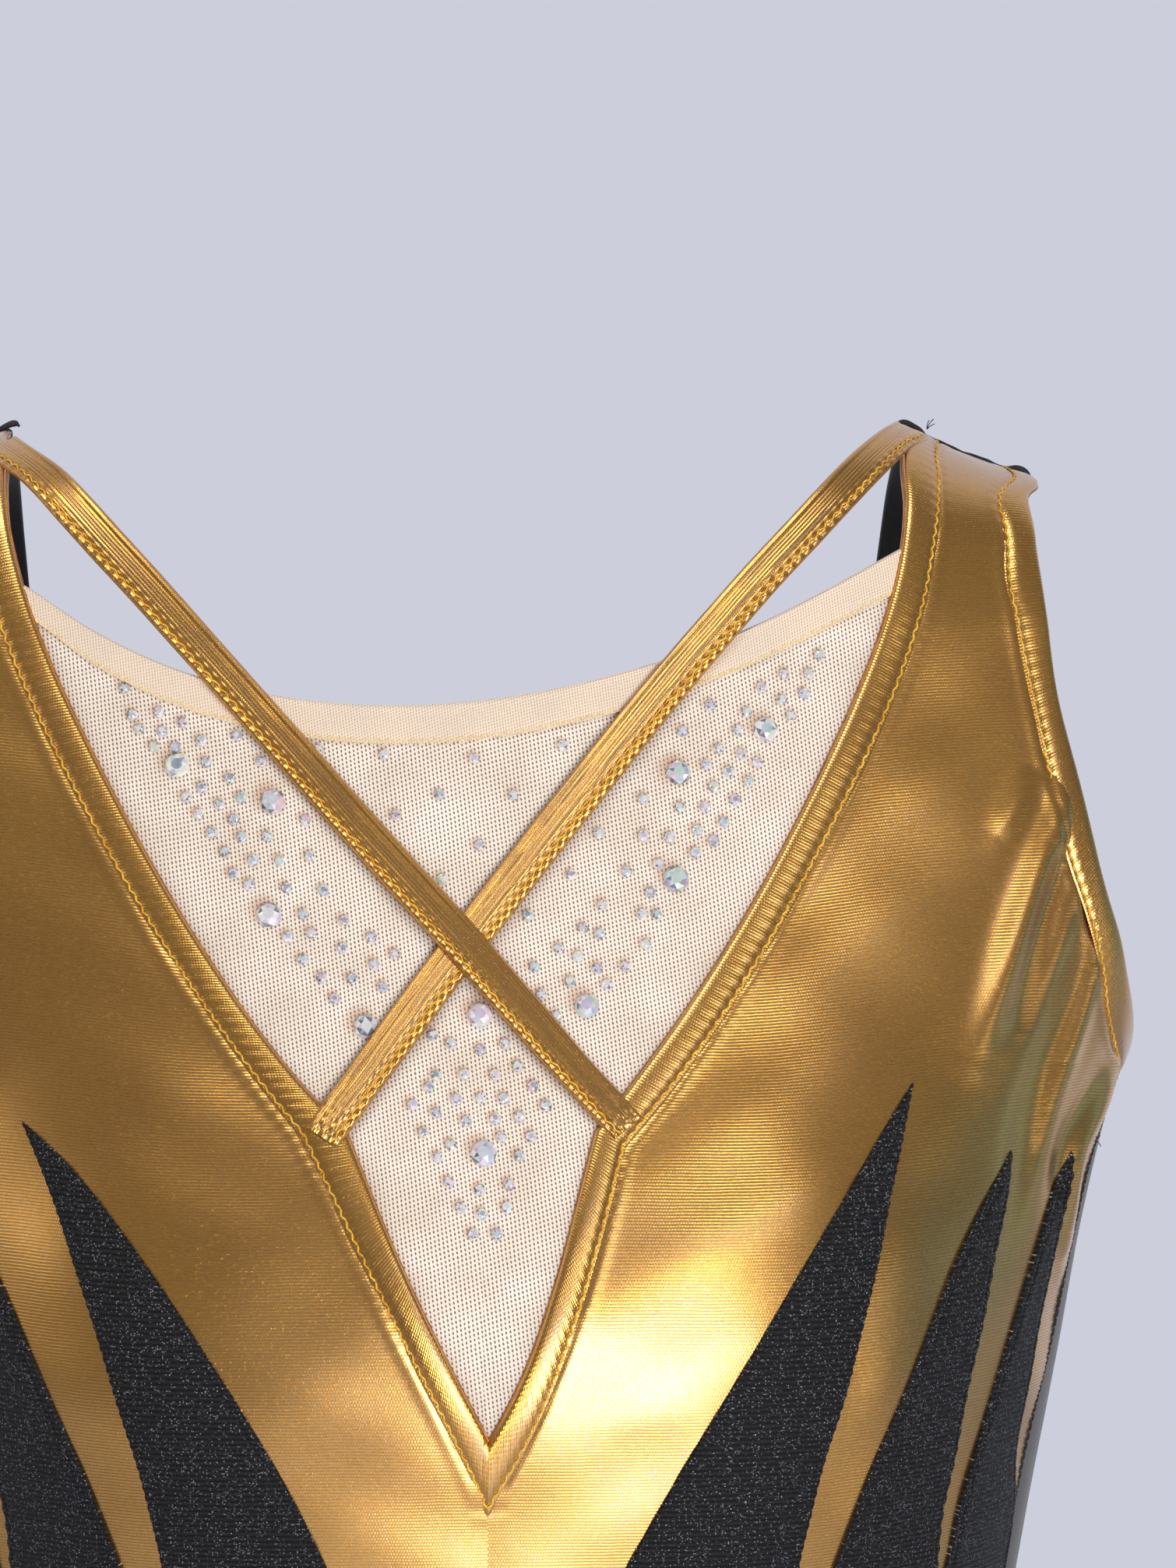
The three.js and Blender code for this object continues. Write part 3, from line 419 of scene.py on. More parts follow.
def tube(points, radius, sides=6, caps=True, closed=False):
    """Verts, faces for a tube along points (mm)."""
    p = np.asarray(points, float); n = len(p)
    t = np.gradient(p, axis=0) if not closed else (np.roll(p, -1, 0) - np.roll(p, 1, 0))
    t /= np.maximum(np.linalg.norm(t, axis=1, keepdims=True), 1e-9)
    ref = np.array([0.0, -1.0, 0.0])
    a = np.cross(t, ref); bad = np.linalg.norm(a, axis=1) < 0.15
    a[bad] = np.cross(t[bad], np.array([1.0, 0, 0]))
    a /= np.linalg.norm(a, axis=1, keepdims=True)
    b = np.cross(t, a)
    r = np.broadcast_to(np.asarray(radius, float), (n,))
    ang = np.arange(sides) * 2 * math.pi / sides
    ring = p[:, None] + r[:, None, None] * (a[:, None] * np.cos(ang)[None, :, None] + b[:, None] * np.sin(ang)[None, :, None])
    V = ring.reshape(-1, 3)
    F = []
    m = n if closed else n - 1
    for k in range(m):
        for s in range(sides):
            x0 = k * sides + s; x1 = k * sides + (s + 1) % sides
            y0 = ((k + 1) % n) * sides + s; y1 = ((k + 1) % n) * sides + (s + 1) % sides
            F.append((x0, x1, y1, y0))
    if caps and not closed:
        F.append(tuple(reversed(range(sides)))); F.append(tuple(range((n - 1) * sides, n * sides)))
    return V, F


def tubes(name, items, mat):
    V, F, n = [], [], 0
    for pts, r, s in items:
        v, f = tube(pts, r, s)
        V.append(v); F += [tuple(c + n for c in q) for q in f]; n += len(v)
    ob = make(name, np.concatenate(V), F, None, None, mat, sharp=60)
    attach(ob, "root")
    return ob


def dist_to(pts, line, chunk=4000):
    """Distance from points to a polyline, and where along it (0 to 1) and at what length."""
    q = pts.reshape(-1, 3); L = even(line, step=1.0); s = arclen(L)
    d = np.empty(len(q)); w = np.empty(len(q))
    for a in range(0, len(q), chunk):
        D = np.linalg.norm(q[a:a + chunk, None] - L[None], axis=2)
        k = D.argmin(1); d[a:a + chunk] = D[np.arange(len(k)), k]; w[a:a + chunk] = s[k]
    return d.reshape(pts.shape[:-1]), w.reshape(pts.shape[:-1]), s[-1]


FOLD_LINES = [(ontz(spline(p, step=1.0)), a, s) for p, a, s in FOLDS]


def relief(G):
    """Drag folds and the slow unevenness of stretched foil, in mm, from points on the form."""
    x, y, z = np.abs(G[..., 0]), G[..., 1], G[..., 2]
    h = 0.16 * np.sin(z / 7.3 + x / 15) * np.sin(x / 11.0 + z / 29) + 0.12 * np.sin(z / 3.9 - x / 8.0 + 1.3)
    h = h * np.clip((-y - 5) / 20, 0, 1)
    Q = np.stack([x, y, z], -1)
    near = (x > 80) & (z > -200) & (y < 0)
    if near.any():
        pts = Q[near]; add = np.zeros(len(pts))
        for line, amp, sg in FOLD_LINES:
            d, w, L = dist_to(pts[None], line)
            t = np.clip(w[0] / L, 0, 1)
            taper = np.sin(np.pi * np.clip(t, 0.02, 0.98))**0.6
            add += 1.45 * amp * taper * np.exp(-d[0]**2 / (2 * sg * sg))
        h = h.copy(); h[near] += add
    return np.where(h < -0.6, -0.6 - 0.45 * np.tanh((-h - 0.6) / 0.45), h)


def offset_grid(TH, ZZ, d, rel=None):
    G = off(TH, ZZ, d)
    if rel is not None:
        G = G + N(TH, ZZ) * rel[..., None]
    return G


def cols_from(w, near0, near1, mid):
    """Column places along a row of width w (array of rows): fixed distances near each side, even between."""
    w = np.asarray(w, float)[:, None]
    n0 = np.array(near0, float)[None]; n1 = np.array(near1, float)[None]
    k0 = np.minimum(1.0, 0.45 * w / max(n0.max(), 1e-9)); k1 = np.minimum(1.0, 0.45 * w / max(n1.max(), 1e-9))
    a = n0 * k0; b = w - n1[:, ::-1] * k1
    t = np.linspace(0, 1, mid + 2)[None, 1:-1]
    c = a[:, -1:] + (b[:, :1] - a[:, -1:]) * t
    return np.concatenate([a, c, b], 1) / np.maximum(w, 1e-9)


def patch(A, B, near0=(0, 1), near1=(0, 1), mid=40, nv=None, step=1.2):
    """Grid between two boundary curves given in (theta, z) radians, mm. Rows are even along the two sides."""
    def regular(C, k=900):
        t = arclen(P(C[:, 0], C[:, 1]))
        q = np.linspace(0, t[-1], k)
        return np.stack([np.interp(q, t, C[:, j]) for j in (0, 1)], 1)
    A, B = regular(A), regular(B)
    a3, b3 = P(A[:, 0], A[:, 1]), P(B[:, 0], B[:, 1])
    s = 0.5 * (arclen(a3) + arclen(b3))
    n = nv or int(s[-1] / step) + 1
    t = np.linspace(0, s[-1], n)
    f = lambda C: np.stack([np.interp(t, s, C[:, j]) for j in (0, 1)], 1)
    A, B = f(A), f(B)
    k = np.linspace(0, 1, 25)[None]
    th = A[:, :1] * (1 - k) + B[:, :1] * k; zz = A[:, 1:] * (1 - k) + B[:, 1:] * k
    row = P(th, zz); w = np.linalg.norm(np.diff(row, axis=1), axis=2)
    cum = np.concatenate([np.zeros((n, 1)), np.cumsum(w, 1)], 1)
    place = cols_from(cum[:, -1], near0, near1, mid) * cum[:, -1:]
    q = np.stack([np.interp(place[i], cum[i], k[0]) for i in range(n)])
    TH = A[:, :1] * (1 - q) + B[:, :1] * q; ZZ = A[:, 1:] * (1 - q) + B[:, 1:] * q
    return TH, ZZ, place


def same_count(c, n):
    return even(c, n=n)


def to_tz(p3):
    th, z = thz(p3)
    return np.stack([th, z], 1)


def finish_piece(ob, nodes=()):
    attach(ob, "root")
    if nodes:
        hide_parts(*nodes)
    return ob


# ------------------------------------------------------------------ girth and height along the body, for the grain of each fabric
GT = np.linspace(0, math.pi, 241); GZ = np.linspace(-654.9, 24, 227)
_p = P(GT[None] + 0 * GZ[:, None], GZ[:, None] + 0 * GT[None])
_s = np.concatenate([np.zeros((len(GZ), 1)), np.cumsum(np.linalg.norm(np.diff(_p[..., :2], axis=1), axis=2), 1)], 1)
_m = np.concatenate([np.zeros((1, len(GT))), np.cumsum(np.linalg.norm(np.diff(_p, axis=0), axis=2), 0)], 0)
_m = _m - _m[int(round((-352 + 654.9) / 678.9 * 226))][None]


def table(T, th, z):
    a = np.abs(th) / math.pi * 240; b = (np.clip(z, -654.9, 24) + 654.9) / 678.9 * 226
    i = np.clip(a.astype(int), 0, 239); j = np.clip(b.astype(int), 0, 225)
    fa = a - i; fb = b - j
    return (T[j, i] * (1 - fa) + T[j, i + 1] * fa) * (1 - fb) + (T[j + 1, i] * (1 - fa) + T[j + 1, i + 1] * fa) * fb


def world_uv(TH, ZZ):
    """Girth and height on the body, in cm: keeps the knit level on every panel."""
    th = np.asarray(TH, float) + 0 * ZZ; z = np.asarray(ZZ, float) + 0 * th
    return np.stack([np.sign(th) * table(_s, th, z), table(_m, th, z)], -1) / 10


def crest(x):
    """Point on the shoulder's crest at this x."""
    z = np.linspace(23, -19, 400)
    a = np.interp(abs(x), ev(TAB[0], z), z)
    return P(math.copysign(math.pi / 2, x), a)


def pair(E, S, n_list):
    """Edge and stitch curves, each a list of 3-D pieces, sampled at matching places."""
    e = [even(project(spline(a, step=0.8)), n=n) for a, n in zip(E, n_list)]
    s = [even(project(spline(a, step=0.8)), n=n) for a, n in zip(S, n_list)]
    j = lambda L: np.vstack([L[0]] + [q[1:] for q in L[1:]])
    return j(e), j(s)


def neck(side):
    a, b, c, d = (NECK_R, NECK_R2, ST_R, ST_R2) if side > 0 else (NECK_L, NECK_L2, ST_L, ST_L2)
    x0, x1 = (101.8, 109.2) if side > 0 else (102.9, 110.6)
    E1 = np.vstack([crest(side * x0)[None], onfront(a)]); S1 = np.vstack([crest(side * x1)[None], onfront(c)])
    return pair([E1, onfront(b)], [S1, onfront(d)], [270, 98])


NECK = {1: neck(1), -1: neck(-1)}


def arm(side, back=False):
    e, s = np.array(ARM_EDGE, float), np.array(ARM_ST, float)
    if back:
        e[:, 0] = 180 - e[:, 0]; s[:, 0] = 180 - s[:, 0]
    E, S = pair([ontz(e)], [ontz(s)], [230])
    return (E, S) if side > 0 else (flipx(E), flipx(S))


def scoop():
    E1 = np.vstack([crest(102.6)[None], onback(SCOOP)]); S1 = np.vstack([crest(110.4)[None], onback(SCOOP_ST)])
    E, S = pair([E1], [S1], [290])
    return np.vstack([E, flipx(E)[::-1][1:]]), np.vstack([S, flipx(S)[::-1][1:]])


def underside(xy):
    xy = np.asarray(xy, float)
    th = np.arctan2(xy[:, 0], -xy[:, 1]); r = np.hypot(xy[:, 0], xy[:, 1])
    lo = np.full(len(xy), -655.0); hi = np.full(len(xy), -560.0)
    for _ in range(40):
        m_ = (lo + hi) / 2; v = rad(th, m_) < r
        lo = np.where(v, m_, lo); hi = np.where(v, hi, m_)
    return np.stack([xy[:, 0], xy[:, 1], lo], 1)


def leg(side):
    out = []
    for T in (LEG, LEG_OUT):
        p = np.vstack([ontz(T["front"]), underside(T["crotch"]), ontz(T["back"])])
        out.append(even(project(spline(p, step=1.0)), n=420))
    E, S = out
    return (E, S) if side > 0 else (flipx(E), flipx(S))


# ------------------------------------------------------------------ material helpers
class Mat:
    def __init__(self, name, **sock):
        self.mat = bpy.data.materials.new(name); self.mat.use_nodes = True
        self.t = self.mat.node_tree; self.t.nodes.clear()
        out = self.t.nodes.new("ShaderNodeOutputMaterial")
        self.b = self.t.nodes.new("ShaderNodeBsdfPrincipled")
        self.t.links.new(self.b.outputs[0], out.inputs[0])
        for k, v in sock.items():
            self.b.inputs[k.replace("_", " ")].default_value = v

    def put(self, sock, v):
        if isinstance(v, bpy.types.NodeSocket):
            self.t.links.new(v, sock)
        elif v is not None:
            sock.default_value = v

    def node(self, kind, props=(), out=0, **ins):
        n = self.t.nodes.new("ShaderNode" + kind)
        for k, v in dict(props).items():
            setattr(n, k, v)
        for k, v in ins.items():
            key = int(k[1:]) if k[0] == "i" and k[1:].isdigit() else k.replace("_", " ")
            self.put(n.inputs[key], v)
        return n.outputs[out]

    def math(self, op, a, b=None, c=None, clamp=False):
        return self.node("Math", {"operation": op, "use_clamp": clamp}, i0=a, i1=b, i2=c)

    def add(self, a, b): return self.math("ADD", a, b)
    def mul(self, a, b): return self.math("MULTIPLY", a, b)
    def sub(self, a, b): return self.math("SUBTRACT", a, b)
    def sin(self, a): return self.math("SINE", a)

    def attr(self, name, out=2):
        return self.node("Attribute", {"attribute_name": name}, out=out)

    def grain(self):
        v = self.attr("grain", out=1)
        s = self.t.nodes.new("ShaderNodeSeparateXYZ"); self.t.links.new(v, s.inputs[0])
        return v, s.outputs[0], s.outputs[1]

    def vec(self, x, y, z=0.0):
        return self.node("CombineXYZ", i0=x, i1=y, i2=z)

    def noise(self, vec, scale, detail=2.0, rough=0.5, dims="3D"):
        return self.node("TexNoise", {"noise_dimensions": dims}, Vector=vec, Scale=scale, Detail=detail, Roughness=rough)

    def ramp(self, v, lo, hi, a=0.0, b=1.0):
        return self.node("MapRange", {"clamp": True}, i0=v, i1=lo, i2=hi, i3=a, i4=b)

    def smooth(self, v, lo, hi, a=0.0, b=1.0):
        return self.node("MapRange", {"clamp": True, "interpolation_type": "SMOOTHSTEP"}, i0=v, i1=lo, i2=hi, i3=a, i4=b)

    def mix(self, f, a, b, blend="MIX"):
        n = self.t.nodes.new("ShaderNodeMix"); n.data_type = "RGBA"; n.blend_type = blend
        self.put(n.inputs[0], f); self.put(n.inputs[6], a); self.put(n.inputs[7], b)
        return n.outputs[2]

    def bump(self, h, dist, strength=1.0, normal=None):
        return self.node("Bump", Height=h, Distance=dist, Strength=strength, Normal=normal)

    def set(self, **kw):
        for k, v in kw.items():
            self.put(self.b.inputs[k.replace("_", " ")], v)
        return self.mat


def rgb(r, g, b):
    f = lambda c: c / 12.92 if c <= 0.04045 else ((c + 0.055) / 1.055)**2.4
    return (f(r / 255), f(g / 255), f(b / 255), 1.0)


def foil(name, row=0.070, col=0.062, rough=0.25, lo=(214, 147, 28), hi=(230, 165, 40), depth=0.9, lines=False, gapk=0.56, shade=(88, 50, 12)):
    """Gold foil laid on a fine knit: level rows of tiny stitches, each a small bright facet with a painted glint on its
    crest, and painted shade in the gaps between the rows.
    """
    m = Mat(name, Metallic=0.97, IOR=1.5, Coat_Roughness=0.32, Coat_IOR=1.8)
    v, u, w = m.grain()
    wob = m.noise(v, 0.9, 2.0)
    w2 = m.add(w, m.mul(m.sub(wob, 0.5), 0.05))
    wv = m.sin(m.mul(w2, 2 * math.pi / row))
    stag = m.mul(m.math("FLOOR", m.add(m.math("DIVIDE", w2, row), 0.25)), math.pi)
    wu = m.sin(m.add(m.mul(u, 2 * math.pi / col), stag))
    fine = m.noise(v, 26.0, 2.0)
    cells = m.node("TexVoronoi", {"feature": "F1"}, out=1, Vector=m.vec(m.math("DIVIDE", u, col), m.math("DIVIDE", w2, row)), Scale=1.0, Randomness=0.3)
    cell = m.node("SeparateColor", i0=cells)
    ka, kb = (0.95, 0.14) if lines else (0.70, 0.34)
    h = m.add(m.mul(wv, ka), m.mul(wu, kb))
    h = m.add(h, m.mul(m.sub(fine, 0.5), 0.9))
    h = m.add(h, m.mul(m.sub(cell, 0.5), 0.55))
    slow = m.noise(v, 0.22, 3.0)
    n2 = m.bump(h, 0.000020 * depth, 0.85)
    base = m.mix(m.ramp(slow, 0.3, 0.7), rgb(*lo), rgb(*hi))
    gap = m.ramp(m.add(wv, m.mul(fine, 0.7)), -0.80, 0.25)
    base = m.mix(gap, m.mix(gapk, base, rgb(*shade)), base)
    # painted glints: paler base colour on the stitch crests
    crest_glints = m.mul(m.ramp(m.add(m.mul(wu, 0.6), m.mul(cell, 0.8)), 0.35, 1.1), gap)
    base = m.mix(m.mul(crest_glints, 0.34), base, rgb(255, 224, 150))
    r = m.add(rough, m.mul(m.sub(fine, 0.5), 0.18))
    r = m.sub(r, m.mul(crest_glints, 0.06))
    r = m.add(r, m.mul(m.sub(1.0, gap), 0.08))
    return m.set(Base_Color=base, Roughness=r, Normal=n2, Coat_Weight=1.0)


def black_rib(name, pitch=0.115, col=0.05, base=(30, 29, 32), shine=1.0):
    m = Mat(name, Metallic=0.0, IOR=1.45, Sheen_Roughness=0.5)
    v, u, w = m.grain()
    wob = m.noise(v, 1.6, 2.0)
    w2 = m.add(w, m.mul(m.sub(wob, 0.5), 0.025))
    wv = m.sin(m.mul(w2, 2 * math.pi / pitch))
    wu = m.sin(m.mul(u, 2 * math.pi / col))
    fine = m.noise(v, 60.0, 1.0)
    cells = m.node("TexVoronoi", {"feature": "F1"}, out=1, Vector=v, Scale=1 / 0.036, Randomness=1.0)
    cell = m.node("SeparateColor", i0=cells)
    dist = m.node("TexVoronoi", {"feature": "F1"}, out=0, Vector=v, Scale=1 / 0.036, Randomness=1.0)
    dot = m.mul(m.ramp(cell, 0.68, 0.95), m.ramp(dist, 0.44, 0.14))
    slow = m.noise(v, 0.5, 3.0)
    # painted shade: near black in the troughs between the ribs
    c = m.mix(m.ramp(wv, -0.8, 0.6), rgb(2, 2, 3), rgb(*base))
    c = m.mix(m.ramp(slow, 0.25, 0.8, 0.0, 0.2), c, rgb(24, 22, 24))
    c = m.mix(m.mul(dot, 0.85 * shine), c, rgb(206, 208, 218))
    h = m.add(m.add(m.mul(wv, 1.0), m.mul(wu, 0.15)), m.mul(m.sub(fine, 0.5), 0.8))
    nn = m.bump(h, 0.00016, 0.85)
    return m.set(Base_Color=c, Roughness=m.ramp(dot, 0.0, 1.0, 0.55, 0.28), Metallic=m.mul(dot, 0.7), Normal=nn,
                 Sheen_Weight=0.03, Specular_IOR_Level=0.24)


def black_knit(name, pitch=0.05):
    m = Mat(name, IOR=1.45, Sheen_Roughness=0.4)
    v, u, w = m.grain()
    wv = m.sin(m.mul(w, 2 * math.pi / pitch)); wu = m.sin(m.mul(u, 2 * math.pi / 0.045))
    fine = m.noise(v, 45.0, 2.0); slow = m.noise(v, 0.6, 3.0)
    c = m.mix(m.ramp(m.add(m.mul(wv, 0.4), fine), 0.1, 1.1), rgb(12, 12, 14), rgb(38, 37, 41))
    c = m.mix(m.ramp(slow, 0.3, 0.8, 0.0, 0.3), c, rgb(48, 47, 52))
    h = m.add(m.add(m.mul(wv, 0.5), m.mul(wu, 0.4)), m.mul(m.sub(fine, 0.5), 1.2))
    return m.set(Base_Color=c, Roughness=m.ramp(fine, 0.3, 0.7, 0.42, 0.62), Normal=m.bump(h, 0.00006, 0.7), Sheen_Weight=0.25,
                 Specular_IOR_Level=0.5)


def net(name, px=0.088, py=0.098, cream=(250, 240, 228), shaded_hole=(112, 80, 66), amount=1.0, stone_shadow=True):
    """Fine tricot net: staggered upright slots between pale threads, the slots painted in the shade of the layer behind
    them.
    """
    m = Mat(name, IOR=1.45)
    v, u, w = m.grain()
    wob = m.noise(v, 1.3, 2.0)
    u1 = m.add(m.add(u, m.mul(w, 0.10)), m.mul(m.sub(wob, 0.5), 0.03))
    w1 = m.add(w, m.mul(u, 0.22))
    a = m.math("DIVIDE", u1, px)
    k = m.math("FLOOR", a)
    b = m.add(m.math("DIVIDE", w1, py), m.mul(m.math("MODULO", k, 2.0), 0.5))
    fu = m.math("ABSOLUTE", m.sub(m.math("FRACT", a), 0.5))
    fw = m.math("ABSOLUTE", m.sub(m.math("FRACT", b), 0.5))
    n = m.noise(v, 14.0, 2.0)
    d = m.math("SQRT", m.add(m.math("POWER", m.mul(fu, 3.3), 2.0), m.math("POWER", m.mul(fw, 2.15), 2.0)))
    d = m.add(d, m.mul(m.sub(n, 0.5), 0.55))
    hole_m = m.smooth(d, 0.86, 0.46)
    slow = m.noise(v, 0.7, 3.0)
    c0 = m.mix(m.ramp(slow, 0.3, 0.75), rgb(*cream), rgb(232, 216, 198))
    # painted shade: the slots take the darkened colour of the layer seen through them
    c = m.mix(m.mul(hole_m, amount * 0.92), c0, rgb(*shaded_hole))
    thread = m.noise(m.vec(m.mul(u, 30.0), m.mul(w, 6.0)), 2.0, 2.0)
    c = m.mix(m.ramp(thread, 0.55, 0.8, 0.0, 0.25), c, rgb(250, 240, 228))
    # painted shadow: each stone's shadow painted brown on the net, up and to the left of it
    if stone_shadow:
        g = m.attr("stone_shadow")
        c = m.mix(m.mul(g, 0.62), c, rgb(172, 118, 72))
    # painted shade: darker net right along the neck band edges and beside the straps
    edge = m.attr("edge_shade")
    c = m.mix(m.mul(edge, 0.5), c, rgb(132, 96, 84))
    h = m.add(m.mul(hole_m, -1.0), m.mul(m.sub(thread, 0.5), 0.25))
    return m.set(Base_Color=c, Roughness=m.ramp(n, 0.3, 0.7, 0.55, 0.75), Normal=m.bump(h, 0.00018, 0.8),
                 Subsurface_Weight=0.0, Sheen_Weight=0.15)


def nude(name, base=(214, 178, 150), pitch=0.045):
    m = Mat(name, IOR=1.45, Sheen_Roughness=0.5)
    v, u, w = m.grain()
    fine = m.noise(v, 38.0, 2.0); slow = m.noise(v, 0.8, 3.0)
    wv = m.sin(m.mul(w, 2 * math.pi / pitch)); wu = m.sin(m.mul(u, 2 * math.pi / pitch))
    c = m.mix(m.ramp(slow, 0.3, 0.7), rgb(*base), rgb(*(int(k * 0.9) for k in base)))
    c = m.mix(m.ramp(fine, 0.3, 0.75, 0.0, 0.35), c, rgb(*(min(255, int(k * 1.1)) for k in base)))
    h = m.add(m.add(m.mul(wv, 0.4), m.mul(wu, 0.4)), m.sub(fine, 0.5))
    return m.set(Base_Color=c, Roughness=m.ramp(fine, 0.3, 0.7, 0.6, 0.8), Normal=m.bump(h, 0.00006, 0.7), Sheen_Weight=0.2)


def thread_mat(name, a, b, metal=0.0, rough=0.4):
    m = Mat(name, Metallic=metal, IOR=1.5)
    o = m.node("TexCoord", out=3)
    n = m.noise(o, 2600.0, 2.0); n2 = m.noise(o, 260.0, 2.0)
    c = m.mix(m.ramp(n2, 0.3, 0.7), rgb(*a), rgb(*b))
    return m.set(Base_Color=c, Roughness=m.ramp(n, 0.3, 0.7, rough - 0.1, rough + 0.15), Normal=m.bump(n, 0.00004, 0.6), Sheen_Weight=0.1)


def crystal(name):
    m = Mat(name, Metallic=0.06, IOR=1.7, Coat_Roughness=0.03, Coat_IOR=2.0)
    t = m.attr("ab_colour_and_reflection", out=0)
    o = m.node("TexCoord", out=3)
    n = m.noise(o, 700.0, 2.0)
    # painted glints: faint white flecks across the facets
    c = m.mix(m.ramp(n, 0.35, 0.7, 0.0, 0.25), t, rgb(250, 250, 255))
    return m.set(Base_Color=c, Roughness=m.ramp(n, 0.3, 0.7, 0.08, 0.20), Coat_Weight=1.0)


M_FOIL = foil("gold foil on knit")
M_TRIM = foil("gold foil band", rough=0.24, depth=1.1)
M_STRAP = foil("gold foil strap", row=0.062, col=0.058, rough=0.25, depth=1.5, lines=True, gapk=0.50, shade=(120, 72, 18))
M_RIB = black_rib("black glitter rib")
M_BLACK = black_knit("black spandex")
M_NET = net("nude tricot net")
M_HEM = net("net hem, doubled", px=0.062, py=0.070, cream=(246, 224, 200), shaded_hole=(204, 172, 146), amount=0.8, stone_shadow=False)
M_NUDE = nude("nude lining")
M_ELASTIC = nude("white knitted elastic", base=(226, 224, 216), pitch=0.08)
M_GOLDTHREAD = thread_mat("gold thread", (214, 158, 30), (248, 204, 74), metal=0.25, rough=0.40)
M_EDGE = thread_mat("edge thread", (150, 84, 14), (198, 128, 34), metal=0.4, rough=0.42)
M_BLACKTHREAD = thread_mat("black thread", (16, 15, 16), (40, 38, 40), rough=0.6)
M_PALETHREAD = thread_mat("pale thread", (232, 202, 132), (248, 228, 168), rough=0.5)
M_CRYSTAL = crystal("crystal, aurora coat")


# ------------------------------------------------------------------ panels
def halves(name, inner_lines, outer_lines, d_in, d_out, mat, nodes, near0, near1, mid, step=0.95, rel=True, stitches=(), weld=0.04, pucker=0.10):
    datas = []
    for side in (1, -1):
        A = to_tz(inner_lines[side]); B = to_tz(outer_lines[side])
        A[:, 0] = np.unwrap(A[:, 0]); B[:, 0] = np.unwrap(B[:, 0])
        TH, ZZ, place = patch(A, B, near0, near1, mid, step=step)
        base = P(TH, ZZ)
        h = relief(base) if rel else np.zeros(TH.shape)
        out_h = h.copy()
        for line in stitches:
            L = line[side]
            box_lo, box_hi = L.min(0) - 9, L.max(0) + 9
            near = ((base > box_lo) & (base < box_hi)).all(-1)
            d, s, _ = dist_to(base[near][None], L)
            d, s = d[0], s[0]
            g = -0.20 * np.exp(-(d / 0.55)**2) + pucker * 1.6 * np.exp(-((d - 1.7) / 1.2)**2)
            wave = np.cos(2 * np.pi * s / 2.9 + 1.7 * np.sin(s / 13.0)) * (0.55 + 0.45 * np.sin(s / 31.0 + 1.0))
            g = g + pucker * wave * np.exp(-np.maximum(d - 0.4, 0) / 2.3)
            out_h[near] += g
        outer = offset_grid(TH, ZZ, d_out, out_h); inner = offset_grid(TH, ZZ, d_in, 0.8 * h)
        datas.append(slab_data(outer, inner, world_uv(TH, ZZ)))
    ob = build(name, datas, mat, weld=weld)
    finish_piece(ob, nodes)
    return ob


def lerp(a, b, k):
    return a * (1 - k) + b * k


def straight(a, b, n=200):
    return a + (b - a) * np.linspace(0, 1, n)[:, None]


def tzpath(tz, n=300):
    q = spline(np.asarray(tz, float), n=n)
    return ontz(q)


ARMF = {1: arm(1), -1: arm(-1)}
ARMB = {1: arm(1, True), -1: arm(-1, True)}
SEAM_END = [(q[0], q[1]) for q in SEAM[1:]] + [(76.4, WAIST + 9.0)]
WAIST_SIDE = (76.4, float(waist_z(111)))
SEAM_LINE = tzpath(SEAM[1:-1] + [(76, -345), WAIST_SIDE])


def side_line(side, s=SEAM_LINE):
    return s if side > 0 else flipx(s)


def centre(x, z0, z1, n=260):
    z = np.linspace(z0, z1, n)
    return onfront(np.stack([np.full(n, x), z], 1))


FRONT_IN, FRONT_OUT, BACK_IN3, BACK_OUT3, LIN_IN = {}, {}, {}, {}, {}
SC_E, SC_S = scoop()
half_n = len(SC_E) // 2 + 1
for sd in (1, -1):
    E, S = NECK[sd]
    q = project(lerp(E, S, 0.12))
    q[:, 0] = q[:, 0] if sd > 0 else np.minimum(q[:, 0], 1.1)
    q[-1, 0] = 1.1
    FRONT_IN[sd] = np.vstack([q, centre(1.1, q[-1, 2] - 1.0, WAIST)])
    LIN_IN[sd] = np.vstack([E[:-1], centre(1.1, E[-1, 2] - 0.5, WAIST)])
    ae, as_ = ARMF[sd]
    q = project(lerp(ae, as_, 0.12))
    FRONT_OUT[sd] = np.vstack([q, side_line(sd)])
    be, bs = ARMB[sd]
    q = project(lerp(be, bs, 0.12))
    BACK_OUT3[sd] = np.vstack([q, side_line(sd)])
    e = project(lerp(SC_E[:half_n], SC_S[:half_n], 0.12))
    if sd < 0:
        e = flipx(e)
    c = onback(np.stack([np.full(260, 0.0), np.linspace(e[-1, 2] - 1, WAIST, 260)], 1))
    BACK_IN3[sd] = np.vstack([e, c])

near_fine = tuple(np.round(np.concatenate([[0], np.arange(4.0, 14.0, 0.62), [15.0, 16.4]]), 2))
near_edge = (0, 0.6, 1.4, 2.6)
near_arm = tuple(np.round(np.concatenate([[0], np.arange(3.6, 12.0, 0.7), [13.0, 14.4]]), 2))
foil_front = halves("foil_front", FRONT_IN, FRONT_OUT, 1.7, 2.2, M_FOIL, ["front_bodice"],
                    near_fine, near_arm, 54, step=0.95, stitches=({1: NECK[1][1], -1: NECK[-1][1]}, {1: ARMF[1][1], -1: ARMF[-1][1]}))
lining = halves("lining_front", LIN_IN, FRONT_OUT, -0.3, 0.2, M_NUDE, [], (0, 1.5), (0, 1.5), 26, step=4.0, rel=False)
back = halves("black_back", BACK_IN3, BACK_OUT3, 1.7, 2.2, M_BLACK, ["back_panel"],
              (0, 1, 3, 5, 6, 7, 8, 9, 10.5, 12), (0, 1, 3, 5, 6, 7, 8, 9, 10.5, 12), 34, step=1.6, rel=False,
              stitches=({1: SC_S[:half_n], -1: flipx(SC_S[:half_n])}, {1: ARMB[1][1], -1: ARMB[-1][1]}))


